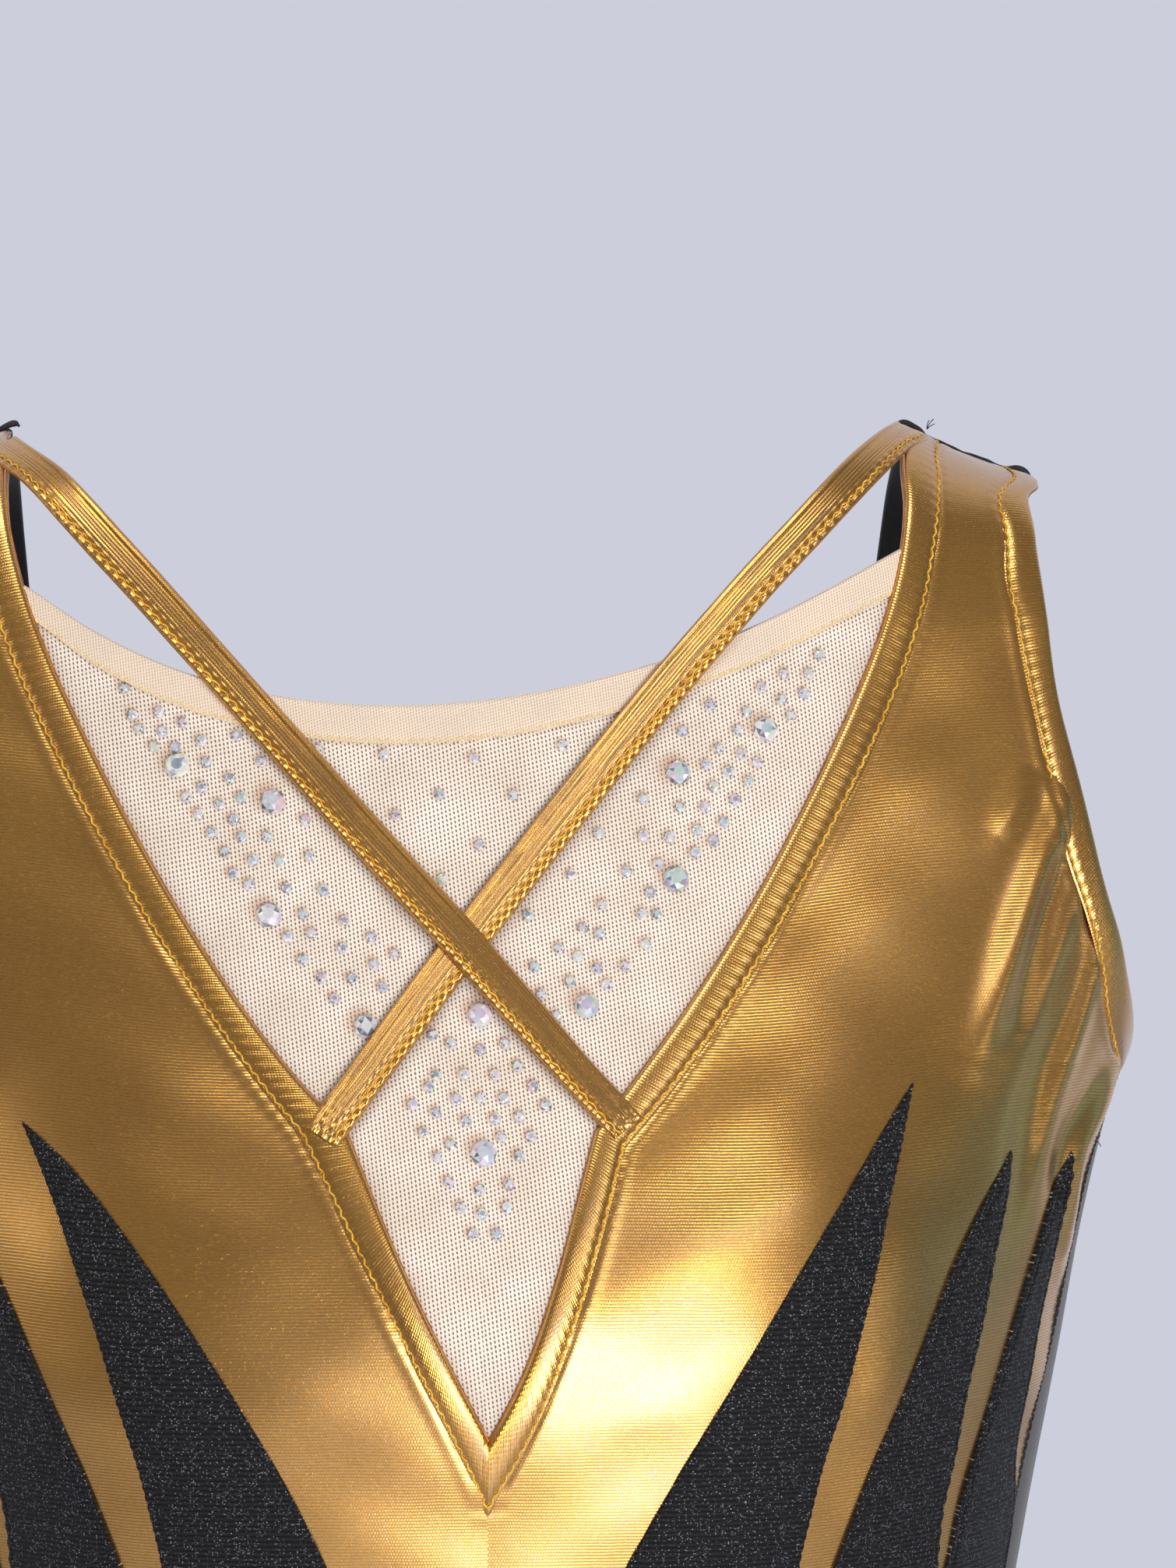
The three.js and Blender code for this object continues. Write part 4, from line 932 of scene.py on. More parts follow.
# lower panels: from the waist to the leg openings and the crotch
def lower(name, front, mat, nodes):
    datas = []
    e, _ = leg(1)
    kf = int(np.argmin(np.abs(e[:, 1]) + 500 * (e[:, 2] > -560)))      # leg edge point right under the hip, between front and back
    start = np.array([(76, -345 - 7.2), (76.2, -360), (78, -420), (80.5, -493)])
    start[0] = (76.4, WAIST_SIDE[1])
    side_part = tzpath(start, 160)
    if front:
        edge_part = e[:kf + 1]
        mid = centre(0.0, WAIST, -652.0, 400)
    else:
        edge_part = e[kf:][::-1]
        z = np.linspace(WAIST, -652.0, 400)
        mid = onback(np.stack([np.zeros(400), z], 1))
    mid = np.vstack([mid, [[0, 0, -654.6]]])
    for side in (1, -1):
        A = mid.copy()
        B = np.vstack([side_part, edge_part[3:]])
        if side < 0:
            B = flipx(B)
        s = 0.5 * (arclen(A) / arclen(A)[-1] * 330)[0:1]
        n = 190
        a = even(A, n=n); b = even(B, n=n)
        k = np.array([0, .008, .02, .05] + list(np.linspace(.09, .93, 42)) + [.955, .975, .99, 1.0])
        G = project(a[:, None] * (1 - k)[None, :, None] + b[:, None] * k[None, :, None], it=24)
        nn = pnormal(G)
        TH, ZZ = thz(G)
        if not front:
            TH = np.where(TH * side < 0, TH + 2 * np.pi * side, TH)
        v = arclen(b)[:, None] + 0 * TH
        under = G[..., 2] < -600
        uv = world_uv(TH, ZZ)
        datas.append(slab_data(G + nn * 2.2, G + nn * 1.7, uv))
    ob = build(name, datas, mat, weld=0.05)
    finish_piece(ob, nodes)
    return ob


low_front = lower("black_brief_front", True, M_RIB, ["lower_front_panel"])
low_back = lower("black_brief_back", False, M_BLACK, ["lower_back_panel"])


# ------------------------------------------------------------------ folded and topstitched bands
PROFILE = [(0.12, 0.75), (0.03, 1.0), (-0.015, 1.5), (-0.02, 2.1), (0.0, 2.6), (0.05, 2.98), (0.13, 3.18), (0.25, 3.26), (0.40, 3.26),
           (0.55, 3.20), (0.68, 3.10), (0.78, 2.94), (0.86, 2.70), (0.92, 2.46), (0.965, 2.32), (1.01, 2.32), (1.06, 2.24), (1.10, 2.0), (0.95, 1.75), (0.5, 0.85)]


def band_data(E, S, amp=0.17, pitch=2.9, closed=False, crest_low=0.0, seed=0.0, prof=PROFILE):
    s = arclen(S); w = np.linalg.norm(S - E, axis=1)
    rows, uvs = [], []
    along = 0.5 * (arclen(E) + s)
    slow = 0.10 * np.sin(along / 17.0 + seed) + 0.05 * np.sin(along / 6.1 + 2 * seed)
    pk = np.cos(2 * np.pi * s / pitch + 1.3 * np.sin(s / 11.0 + seed)) * (0.7 + 0.3 * np.sin(s / 23.0 + seed))
    across = 0.0; prev = None
    for u, d in prof:
        q = project(lerp(E, S, u))
        nn = pnormal(q)
        top = d > 2.3
        g = math.exp(-((u - 0.87) / 0.10)**2)
        f = math.exp(-((u - 0.62) / 0.22)**2)
        dd = d + (amp * g * pk + 0.35 * amp * f * pk + slow * np.clip((d - 2.3) / 1.2, 0, 1) if top else 0.0 * s)
        if crest_low and d > 1.2:                            # pressed flat where it meets the shoulder seam
            dd = 1.6 + (dd - 1.6) * (1 - crest_low * np.exp(-along / 9.0))
        pt = q + nn * np.asarray(dd)[:, None]
        if prev is not None:
            across += float(np.mean(np.linalg.norm(pt - prev, axis=1)))
        prev = pt
        rows.append(pt); uvs.append(np.stack([np.full(len(s), across), along], 1) / 10)
    G = np.stack(rows, 1); UV = np.stack(uvs, 1)                       # (n, m, 3)
    n, m_ = G.shape[:2]
    V = G.reshape(-1, 3); U = UV.reshape(-1, 2)
    F = []
    last = n if closed else n - 1
    for j in range(m_):
        j2 = (j + 1) % m_
        for i in range(last):
            i2 = (i + 1) % n
            F.append((i * m_ + j, i2 * m_ + j, i2 * m_ + j2, i * m_ + j2))
    if not closed:
        for i, rev in ((0, False), (n - 1, True)):
            c = len(V); V = np.vstack([V, G[i].mean(0)[None]]); U = np.vstack([U, UV[i].mean(0)[None]])
            for j in range(m_):
                t = (i * m_ + j, i * m_ + (j + 1) % m_, c)
                F.append(tuple(reversed(t)) if rev else t)
    return V, F, U


def band(name, parts, mat, slot_name, nodes, **kw):
    V, F, U, n = [], [], [], 0
    for E, S in parts:
        v, f, u = band_data(E, S, **kw)
        V.append(v); U.append(u); F += [tuple(c + n for c in q) for q in f]; n += len(v)
    ob = make(name, np.concatenate(V), F, np.concatenate(U), None, mat, sharp=None)
    me = ob.data
    bm = bmesh.new(); bm.from_mesh(me); bmesh.ops.recalc_face_normals(bm, faces=bm.faces); bm.to_mesh(me); bm.free()
    me.polygons.foreach_set("use_smooth", np.ones(len(me.polygons), dtype=bool))
    me.set_sharp_from_angle(angle=R(62))
    finish_piece(ob, nodes)
    return ob


def grainify(ob):
    """Grain vector from the UV map, for materials."""
    me = ob.data
    if "grain" in me.attributes or not me.uv_layers:
        return
    li = np.empty(len(me.loops), dtype=np.int32); me.loops.foreach_get("vertex_index", li)
    uv = np.empty(len(me.loops) * 2, dtype=np.float32); me.uv_layers[0].data.foreach_get("uv", uv)
    g = np.zeros((len(me.vertices), 3), dtype=np.float32); g[li, :2] = uv.reshape(-1, 2)
    a = me.attributes.new("grain", "FLOAT_VECTOR", "POINT"); a.data.foreach_set("vector", g.ravel())


def elastic(name, E, S, nodes, u0=0.16, u1=0.74, closed=False):
    prof = [(u0, 1.9), (u0, 2.45), (0.5 * (u0 + u1), 2.6), (u1, 2.45), (u1, 1.9), (0.5 * (u0 + u1), 1.85)]
    return band(name, [(E[::3] if not closed else E[::3], S[::3])], M_ELASTIC, "white_elastic", nodes, amp=0.0, closed=closed, prof=prof)


for sd, nm in ((1, "right"), (-1, "left")):
    E, S = NECK[sd]
    band(f"neck_fold_{nm}", [(E, S)], M_TRIM, "gold_foil_trim", [f"neckline_band_{nm}"], seed=0.4 + sd, crest_low=0.35)
    elastic(f"neck_rubber_{nm}", E, S, [f"neckline_elastic_{nm}"])
    E, S = ARMF[sd]
    band(f"arm_fold_front_{nm}", [(E, S)], M_TRIM, "gold_foil_trim", [f"armhole_band_front_{nm}"], seed=1.9 + sd, crest_low=0.6)
    Eb, Sb = ARMB[sd]
    band(f"arm_fold_back_{nm}", [(Eb, Sb)], M_BLACK, "black_spandex", [f"armhole_band_back_{nm}"], seed=2.7 + sd, crest_low=0.6)
    ring_e = np.vstack([E, Eb[::-1][1:-1]]); ring_s = np.vstack([S, Sb[::-1][1:-1]])
    elastic(f"arm_rubber_{nm}", ring_e, ring_s, [f"armhole_elastic_{nm}"], closed=True)
    E, S = leg(sd)
    E2, S2 = E[:-1], S[:-1]
    gap = np.linalg.norm(E[0] - E[-1])
    if gap > 0.6:
        E2, S2 = E, S
    band(f"leg_fold_{nm}", [(E2, S2)], M_BLACK, "black_spandex", [f"leg_band_{nm}"], closed=True, seed=3.3 + sd)
    elastic(f"leg_rubber_{nm}", E2, S2, [f"leg_elastic_{nm}"], closed=True)
band("back_neck_fold", [(SC_E, SC_S)], M_BLACK, "black_spandex", ["back_neck_band"], seed=5.0)
elastic("back_neck_rubber", SC_E, SC_S, ["back_neck_elastic"])


# gusset inside the crotch
def gusset():
    e, _ = leg(1)
    lo = e[e[:, 2] < -600]
    a = even(lo, n=70); b = flipx(a)
    k = np.linspace(0, 1, 41)
    G = project(b[:, None] * (1 - k)[None, :, None] + a[:, None] * k[None, :, None], it=24)
    nn = pnormal(G)
    ob = build("crotch_lining", [slab_data(G - nn * 0.5, G - nn * 1.0, grid_uv(G))], M_NUDE)
    finish_piece(ob, ["crotch_gusset"])


gusset()


# ------------------------------------------------------------------ flames
def tz3(tz, step=0.8):
    return ontz(spline(np.asarray(tz, float), step=0.25))


def flames(side):
    tongues = [(A_IN[::-1], A_OUT), (B_IN[::-1], B_OUT), (C_IN[::-1], C_OUT)]
    if side < 0:
        neg = lambda L: [(-a, b) for a, b in L]
        tongues = [(AL_IN[::-1], AL_OUT), (neg(B_IN)[::-1], neg(B_OUT)), (neg(C_IN)[::-1], neg(C_OUT))]
        tongues[1][0][-1] = AL_OUT[-1]
        tongues[0][0][-1] = (0.0, GOLD_POINT)
    near = (0, 0.14, 0.32, 0.55, 0.85, 1.2, 1.5, 1.75, 2.0, 2.4, 3.1, 4.2)
    lines = [tz3(L) for t in tongues for L in t]
    seam = [(side * 69.4, -236), (side * 70.0, -262), (side * 72.4, -300), (side * 76.2, WAIST + 9)]
    lines.append(tz3(seam))
    grids = []
    for I, O in tongues:
        TH, ZZ, place = patch(to_tz(tz3(I)), to_tz(tz3(O)), near, near, 16, step=0.9)
        grids.append((TH, ZZ))
    top = np.concatenate([np.stack([g[0][-1], g[1][-1]], 1) for g in grids])
    keep = np.concatenate([[True], np.linalg.norm(np.diff(P(top[:, 0], top[:, 1]), axis=0), axis=1) > 0.02])
    top = top[keep]
    wl = np.interp(arclen(P(top[:, 0], top[:, 1])), [0, arclen(P(top[:, 0], top[:, 1]))[-1]], [0.0, R(side * 76.5)])
    x = rad(wl, np.full(len(wl), WAIST)) * np.sin(wl)
    zb = waist_z(x) + 0.2 - 1.1 * np.clip(np.abs(wl) / R(76.5), 0, 1)**3
    kk = np.linspace(0, 1, 70)[:, None]
    thb = top[None, :, 0] * (1 - kk) + wl[None] * kk; zzb = top[None, :, 1] * (1 - kk) + zb[None] * kk
    grids.append((thb, zzb))
    datas = []
    for gi, (TH, ZZ) in enumerate(grids):
        base = P(TH, ZZ)
        d = np.full(TH.shape, 99.0); s = np.zeros(TH.shape)
        for L in lines:
            dd, ss, _ = dist_to(base, L)
            s = np.where(dd < d, ss, s); d = np.minimum(d, dd)
        roll = 1 - np.exp(-(d / 0.30)**1.2)
        pk = np.cos(2 * np.pi * s / 2.5)
        groove = np.exp(-((d - 1.75) / 0.34)**2)
        h = 2.28 + 0.82 * roll - (0.22 + 0.10 * pk) * groove + 0.10 * np.exp(-((d - 3.2) / 1.3)**2)
        rel = relief(base)
        nn = N(TH, ZZ)
        outer = base + nn * (h + rel)[..., None]
        inner = base + nn * (2.22 + rel)[..., None]
        skip = []
        if gi < 3:
            skip = [("v1",)]
        else:
            skip = [("v0",)]
        datas.append(slab_data(outer, inner, world_uv(TH, ZZ), skip=[(q[0], 0, 0) for q in skip]))
    nm = "right" if side > 0 else "left"
    ob = build(f"flames_{nm}", datas, M_RIB, weld=0.03, sharp=70)
    finish_piece(ob, [f"flame_applique_{nm}"])
    return lines


FL = {1: flames(1), -1: flames(-1)}


# ------------------------------------------------------------------ net inset, its folded top edge
def line_at(L, z):
    """Index along a falling curve where it passes z."""
    return int(np.argmin(np.abs(L[:, 2] - z)))


def net_patch(top_xz, d0, d1, name, mat, nodes, out=0.35, hem_to=None, bulge=1.6, slot_name="nude_net", flat=None, area=None, nq=150, step=1.1, soft=True):
    top = onfront(spline(np.asarray(top_xz, float), step=0.8))
    El, Sl = NECK[-1]; Er, Sr = NECK[1]
    L = project(lerp(El, Sl, out)); Rr = project(lerp(Er, Sr, out))
    # cut the top line where it meets the two side lines
    def meet(line, T):
        D = np.linalg.norm(line[:, None] - T[None], axis=2)
        i, j = np.unravel_index(D.argmin(), D.shape)
        return i, j
    il, jl = meet(L, top); ir, jr = meet(Rr, top)
    L, Rr, top = L[il:], Rr[ir:], top[jl:jr + 1]
    if hem_to is None:
        n = int(max(arclen(L)[-1], arclen(Rr)[-1]) / step)
        A, B = even(L, n=n), even(Rr, n=n)
        k = np.linspace(0, 1, nq)
        tp = even(top, n=nq)
        base = A[:, None] * (1 - k)[None, :, None] + B[:, None] * k[None, :, None]
        dev = tp - base[0]
        t = np.linspace(0, 1, n)
        G = base + dev[None] * ((1 - t)**bulge)[:, None, None]
    else:
        low = onfront(spline(np.asarray(hem_to, float), step=0.8))
        ia, ja = meet(L, low); ib, jb = meet(Rr, low)
        low = low[ja:jb + 1]
        A, B = even(top, n=nq), even(low, n=nq)
        k = np.linspace(0, 1, 16)
        G = A[None] * (1 - k)[:, None, None] + B[None] * k[:, None, None]
    G = project(G, it=20)
    return G, top, (L, Rr)


def stone_list():
    out = [(x, z, 2.95) for x, z in BIG] + [(x, z, 1.32) for x, z in SMALL]
    return out


def net_piece():
    G, top, sides = net_patch(NET_TOP, 0.9, 1.3, "net", M_NET, ["mesh_inset"])
    TH, ZZ = thz(G)
    nn = pnormal(G)
    wav = 0.10 * np.sin(G[..., 0] / 9.0 + G[..., 2] / 14.0)
    stone_shadow = np.zeros(G.shape[:2]); edge_shade = np.zeros(G.shape[:2])
    # painted shadow mask: a soft patch up and to the left of each stone
    for x, z, r in stone_list():
        dx = (G[..., 0] - (x - 0.42 * r)) / (r * 1.05); dz = (G[..., 2] - (z + 0.36 * r)) / (r * 1.05)
        q = np.sqrt(dx * dx + dz * dz)
        stone_shadow = np.maximum(stone_shadow, np.clip(1.55 - 1.15 * q, 0, 1))
    # painted shade mask: strongest at the neck band edges and under and just beside the straps
    for E, S in NECK.values():
        d, _, _ = dist_to(G, E)
        edge_shade = np.maximum(edge_shade, np.exp(-np.maximum(d - 0.2, 0) / 1.1))
    for line, w_ in ((STRAP_A, 0.75), (STRAP_B, 0.75)):
        d, _, _ = dist_to(G, onfront(spline(np.asarray(line, float), step=1.0)))
        edge_shade = np.maximum(edge_shade, w_ * np.exp(-np.maximum(d - 4.3, 0) / 0.7))
    data = slab_data(G + nn * (1.3 + wav)[..., None], G + nn * (0.9 + wav)[..., None], world_uv(TH, ZZ), {"stone_shadow": stone_shadow, "edge_shade": edge_shade})
    ob = build("net_front", [data], M_NET, weld=0.02)
    finish_piece(ob, ["mesh_inset"])
    return top


net_piece()
HG, HTOP, _ = net_patch(NET_TOP, 1.3, 2.0, "hem", M_HEM, [], out=0.25, hem_to=NET_HEM, nq=220)


def hem_piece():
    G = HG; n = pnormal(G)
    v = np.linspace(0, 1, G.shape[0])
    fold = 1.95 + 0.12 * np.exp(-((v - 0.06) / 0.08)**2) - 0.25 * np.exp(-((v - 0.90) / 0.05)**2) - 0.45 * np.clip((0.05 - v) / 0.05, 0, 1)
    s = arclen(G[0]); pk = 0.05 * np.cos(2 * np.pi * s / 2.6)
    h = fold[:, None] + pk[None] * np.exp(-((v - 0.86) / 0.12)**2)[:, None]
    TH, ZZ = thz(G)
    ob = build("net_hem", [slab_data(G + n * h[..., None], G + n * 1.36, world_uv(TH, ZZ), {"stone_shadow": np.zeros(TH.shape), "edge_shade": np.zeros(TH.shape)})], M_HEM, weld=0.02)
    finish_piece(ob, ["mesh_top_hem"])
    return ob


hem_piece()


def net_lining():
    """Nude lining behind the net, joined in one piece with the lining of the gold front."""
    G, top, _ = net_patch(NET_HEM, 0, 0.5, "l", M_NUDE, [], out=0.0, nq=60, step=2.5)
    n = pnormal(G); TH, ZZ = thz(G)
    v, f, u, a = slab_data(G + n * 0.5, G, world_uv(TH, ZZ))
    ob = build("lining_net", [(v, f, u, a)], M_NUDE, weld=0.02)
    bpy.context.view_layer.objects.active = lining
    with bpy.context.temp_override(active_object=lining, selected_editable_objects=[lining, ob], selected_objects=[lining, ob], object=lining):
        bpy.ops.object.join()
    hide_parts("front_lining")


net_lining()


# ------------------------------------------------------------------ chest straps
def strap(name, xz, lift, nodes, seed, stitch_low=True, ends=None):
    c = onfront(spline(np.asarray(xz, float), step=0.55))
    n = len(c); s = arclen(c)
    t = np.gradient(c, axis=0); t /= np.linalg.norm(t, axis=1, keepdims=True)
    nn = pnormal(c)
    # keep the normal smooth along the run
    k = np.ones(15) / 15
    nn = np.stack([np.convolve(np.pad(nn[:, j], 7, "edge"), k, "valid") for j in range(3)], 1)
    nn /= np.linalg.norm(nn, axis=1, keepdims=True)
    w = np.cross(t, nn); w /= np.linalg.norm(w, axis=1, keepdims=True)
    w[w[:, 2] < 0] *= -1                                     # w points to the upper edge
    nn = np.cross(w, t); sg = np.sign((nn * pnormal(c)).sum(1)); nn *= sg[:, None]
    u = np.hypot(c[:, 0] - CROSSING[0], c[:, 2] - CROSSING[1])
    base = 2.35 + lift * np.exp(-u * u / (2 * 16.0**2))
    # the ends tuck under the neck bands
    half = 4.3 - 0.35 * np.exp(-((s - 12) / 10)**2) - 0.25 * np.exp(-((s[-1] - s - 14) / 9)**2) + 0.08 * np.sin(s / 19.0 + seed)
    endk = np.clip((s[-1] - s) / 9.0, 0, 1)
    half = half * (0.93 + 0.07 * endk)
    cols = np.concatenate([[-1.0, -0.985, -0.95, -0.90], np.linspace(-0.85, 0.85, 44), [0.90, 0.94, 0.965, 0.985, 1.0]])
    X = cols[None] * half[:, None]
    edge_r = np.sqrt(np.clip(1 - ((np.abs(cols) - 0.90).clip(0) / 0.10)**2, 0, 1))          # rounded edges
    prof = 0.62 + 0.78 * edge_r
    crown = 0.22 * (1 - cols**2)
    fine = 0.070 * np.cos(2 * np.pi * X / 0.78) * np.clip((0.62 - np.abs(cols - 0.05)) / 0.1, 0, 1)[None]
    g_at = -half + 1.65
    groove = -0.34 * np.exp(-((X - g_at[:, None]) / 0.36)**2)
    pk = np.cos(2 * np.pi * s / 2.9 + 0.8 * np.sin(s / 9.0 + seed))
    sq = np.tanh(2.2 * pk)
    pucker = 0.20 * sq[:, None] * np.exp(-((X - (g_at - 0.85)[:, None]) / 0.55)**2) + 0.10 * sq[:, None] * np.exp(-((X - (g_at + 0.75)[:, None]) / 0.5)**2)
    roll = 0.20 * np.exp(-((cols - 0.80) / 0.10)**2) - 0.16 * np.exp(-((cols - 0.60) / 0.05)**2)
    gather = np.exp(-(s[-1] - s) / 4.2)
    crink = gather[:, None] * (0.16 * np.sin(X * 2.6 + 2.0 * np.sin(s * 1.3)[:, None]) + 0.12 * np.sin(s * 3.1 + 1.0)[:, None])
    H = prof[None] + crown[None] + fine * (1 - 0.8 * gather)[:, None] + groove + pucker + roll[None] * 0.8 + crink
    top = c[:, None] + nn[:, None] * (base[:, None] + H)[..., None] + w[:, None] * X[..., None]
    bot = c[:, None] + nn[:, None] * (base[:, None] + 0.12 + 0.30 * (1 - edge_r)[None])[..., None] + w[:, None] * X[..., None]
    uv = np.stack([X + 0 * s[:, None], s[:, None] + 0 * X], -1) / 10
    uv = uv[..., ::-1]                                       # ribs run along the strap
    ob = build(name, [slab_data(top, bot, uv)], M_STRAP, weld=None, sharp=60)
    finish_piece(ob, nodes)
    # stitch row along the lower edge, and the cut-edge line at both sides
    def at(xv, extra):
        i = np.arange(n); j = np.array([np.argmin(np.abs(X[q] - xv[q])) for q in i])
        return top[i, j] + nn * extra + w * (xv - X[i, j])[:, None]
    return ob, c, s, nn, w, half, base, at


def zigzag(line, nrm, side, half=1.45, amp=0.6, r=0.2, lift=0.12, seed=0.0):
    """A zigzag of thread along a line of points, with small dips where the needle went in."""
    s = arclen(line); L = s[-1]
    m_ = int(L / half)
    knots = np.linspace(0, L, m_ + 1)
    pts = []
    sub = (0.0, 0.33, 0.66)
    at = lambda q, A: np.stack([np.interp(q, s, A[:, j]) for j in range(3)], 1)
    q, off_, hh = [], [], []
    rr = np.random.default_rng(int(100 + seed * 10))
    jit = rr.normal(0, 0.12, m_ + 2)
    for i in range(m_):
        for f in sub:
            q.append(knots[i] + f * (knots[i + 1] - knots[i]))
            a0 = amp * (1 if i % 2 else -1) * (1 + jit[i]); a1 = -amp * (1 if i % 2 else -1) * (1 + jit[i + 1])
            off_.append(a0 * (1 - f) + a1 * f); hh.append(lift * math.sin(math.pi * f) - (0.10 if f == 0 else 0))
    q = np.array(q)
    P0 = at(q, line) + at(q, nrm) * np.array(hh)[:, None] + at(q, side) * np.array(off_)[:, None]
    return P0, r, 6


def frame_of(line, nrm):
    t = np.gradient(line, axis=0); t /= np.maximum(np.linalg.norm(t, axis=1, keepdims=True), 1e-9)
    w = np.cross(t, nrm); w /= np.linalg.norm(w, axis=1, keepdims=True)
    return w


def stitch_line(E, S, u=0.96, d=2.42, **kw):
    q = project(lerp(E, S, u)); nn = pnormal(q)
    return zigzag(q + nn * d, nn, frame_of(q, nn), **kw)


gold_rows, black_rows, edge_rows, pale_rows = [], [], [], []
sA = strap("strap_over", STRAP_A, 1.55, ["cross_strap_left"], 0.3)
sB = strap("strap_under", STRAP_B, 0.0, ["cross_strap_right"], 1.9)
for ob, c, s, nn, w, half, base, at in (sA, sB):
    xv = -half + 1.65
    p = at(xv, 0.16)
    gold_rows.append(zigzag(p, nn, w, half=1.45, amp=0.28, r=0.20, lift=0.16, seed=len(gold_rows)))
    for e, xx in ((1, half * 0.975), (-1, -half * 0.975)):
        p = c + nn * (base + 0.66)[:, None] + w * xx[:, None]
        edge_rows.append((even(p, step=1.0), 0.24, 6))
for sd in (1, -1):
    E, S = NECK[sd]
    gold_rows.append(stitch_line(E, S, u=0.955, d=2.42, seed=3 + sd, amp=0.30, r=0.21))
    q = project(lerp(E, S, -0.015)); nn = pnormal(q)
    edge_rows.append((even(q + nn * 1.75, step=1.0), 0.30, 6))
    E, S = ARMF[sd]
    gold_rows.append(stitch_line(E, S, u=0.955, d=2.42, seed=7 + sd, amp=0.30, r=0.21))
    q = project(lerp(E, S, -0.015)); nn = pnormal(q)
    edge_rows.append((even(q + nn * 1.75, step=1.0), 0.28, 6))
    E, S = ARMB[sd]
    black_rows.append(stitch_line(E, S, u=0.955, d=2.46, seed=11 + sd, amp=0.5, r=0.21))
    E, S = leg(sd)
    black_rows.append(stitch_line(E, S, u=0.955, d=2.46, seed=15 + sd, amp=0.5, r=0.21))
black_rows.append(stitch_line(SC_E, SC_S, u=0.955, d=2.46, seed=19, amp=0.5, r=0.21))
# the hem's pale stitch row
hl = HG[int(HG.shape[0] * 0.9)]; hn = pnormal(hl)
pale_rows.append(zigzag(hl + hn * 1.86, hn, frame_of(hl, hn), half=1.3, amp=0.35, r=0.16, lift=0.1, seed=30))
# the rows at the side and waist seams
for sd in (1, -1):
    L = side_line(sd); nn = pnormal(project(L))
    p = project(L)
    black_rows.append(zigzag(even(p + nn * 2.34, n=len(p)), nn, frame_of(p, nn), half=1.1, amp=0.55, r=0.2, lift=0.1, seed=21 + sd))
zx = np.linspace(-103, 103, 320)
wl_ = project(onfront(np.stack([zx, waist_z(zx) - 1.2], 1))); wn = pnormal(wl_)
black_rows.append(zigzag(wl_ + wn * 2.4, wn, frame_of(wl_, wn), half=1.3, amp=0.4, r=0.2, seed=40))
wb_ = project(onback(np.stack([zx * 0.98, waist_z(zx) - 1.2], 1))); wn = pnormal(wb_)
black_rows.append(zigzag(wb_ + wn * 2.4, wn, frame_of(wb_, wn), half=1.3, amp=0.4, r=0.2, seed=41))
tubes("stitches_gold", gold_rows, M_GOLDTHREAD)
tubes("stitches_black", black_rows, M_BLACKTHREAD)
tubes("edges_gold", edge_rows, M_EDGE)
tubes("stitches_hem", pale_rows, M_PALETHREAD)


# shoulder seams: the black back panel's allowance rolls up over the gold as an uneven black cord
def shoulder(side):
    x = np.linspace(98.9 if side > 0 else 100.2, 131.0, 110)
    p = np.array([crest(side * q) for q in x]); nn = pnormal(p)
    t = np.linspace(0, 1, 110)
    r = 0.58 + 0.10 * np.sin(x * 1.15 + 0.4) * np.sin(x * 0.43) + 0.16 * np.exp(-((x - 102.0) / 2.6)**2) + 0.16 * np.exp(-((x - 128.5) / 1.8)**2)
    r = r * np.clip(np.minimum(t, 1 - t) / 0.02, 0.5, 1)
    hgt = 2.35 + 1.25 * np.exp(-((x - 102.4) / 3.4)**4) + 0.95 * np.exp(-((x - 128.6) / 2.6)**4) + 0.16 * np.sin(x * 0.7)
    drop = np.zeros((110, 3)); drop[:, 2] = -1.6 * np.exp(-(x[-1] - x) / 0.9) - 1.3 * np.exp(-(x - x[0]) / 0.8)
    return p + nn * hgt[:, None] + drop + np.array([0, 0.2, 0])[None], r, 10


def hairs(p0, dirs, r=0.11):
    out = []
    for d in dirs:
        d = np.array(d, float); k = np.linspace(0, 1, 9)[:, None]
        bend = np.array([d[2], 0.2, -d[0]]) * 0.35
        out.append((np.array(p0)[None] + d[None] * k + bend[None] * (k * k), r, 5))
    return out


bits = [shoulder(1), shoulder(-1)]
c0 = crest(106.0); bits += hairs(c0 + pnormal(c0) * 4.2, [(0.6, -0.4, 2.6), (-0.3, -0.6, 2.0), (1.2, -0.2, 1.7)])
for sd in (1, -1):
    a0 = ARMF[sd][0][-1]; n0 = pnormal(a0[None])[0]
    bits += hairs(a0 + n0 * 2.6, [(sd * 1.6, -0.6, -0.9), (sd * 1.0, -0.8, -2.0), (sd * 2.0, -0.2, 0.2)])
    s1 = side_line(sd)[int(len(SEAM_LINE) * 0.09)]; n1 = pnormal(s1[None])[0]
    bits += hairs(s1 + n1 * 2.4, [(sd * 1.2, -0.9, -0.8), (sd * 0.3, -0.8, 1.4)])
tubes("shoulder_seams", bits, M_BLACKTHREAD)


# ------------------------------------------------------------------ stones
AB = [(206, 232, 222), (214, 202, 238), (190, 208, 236), (240, 204, 218), (248, 248, 252), (232, 240, 206), (150, 164, 182),
      (178, 160, 192), (238, 240, 248), (220, 228, 242), (250, 232, 236), (236, 238, 244), (188, 214, 220), (246, 244, 240)]


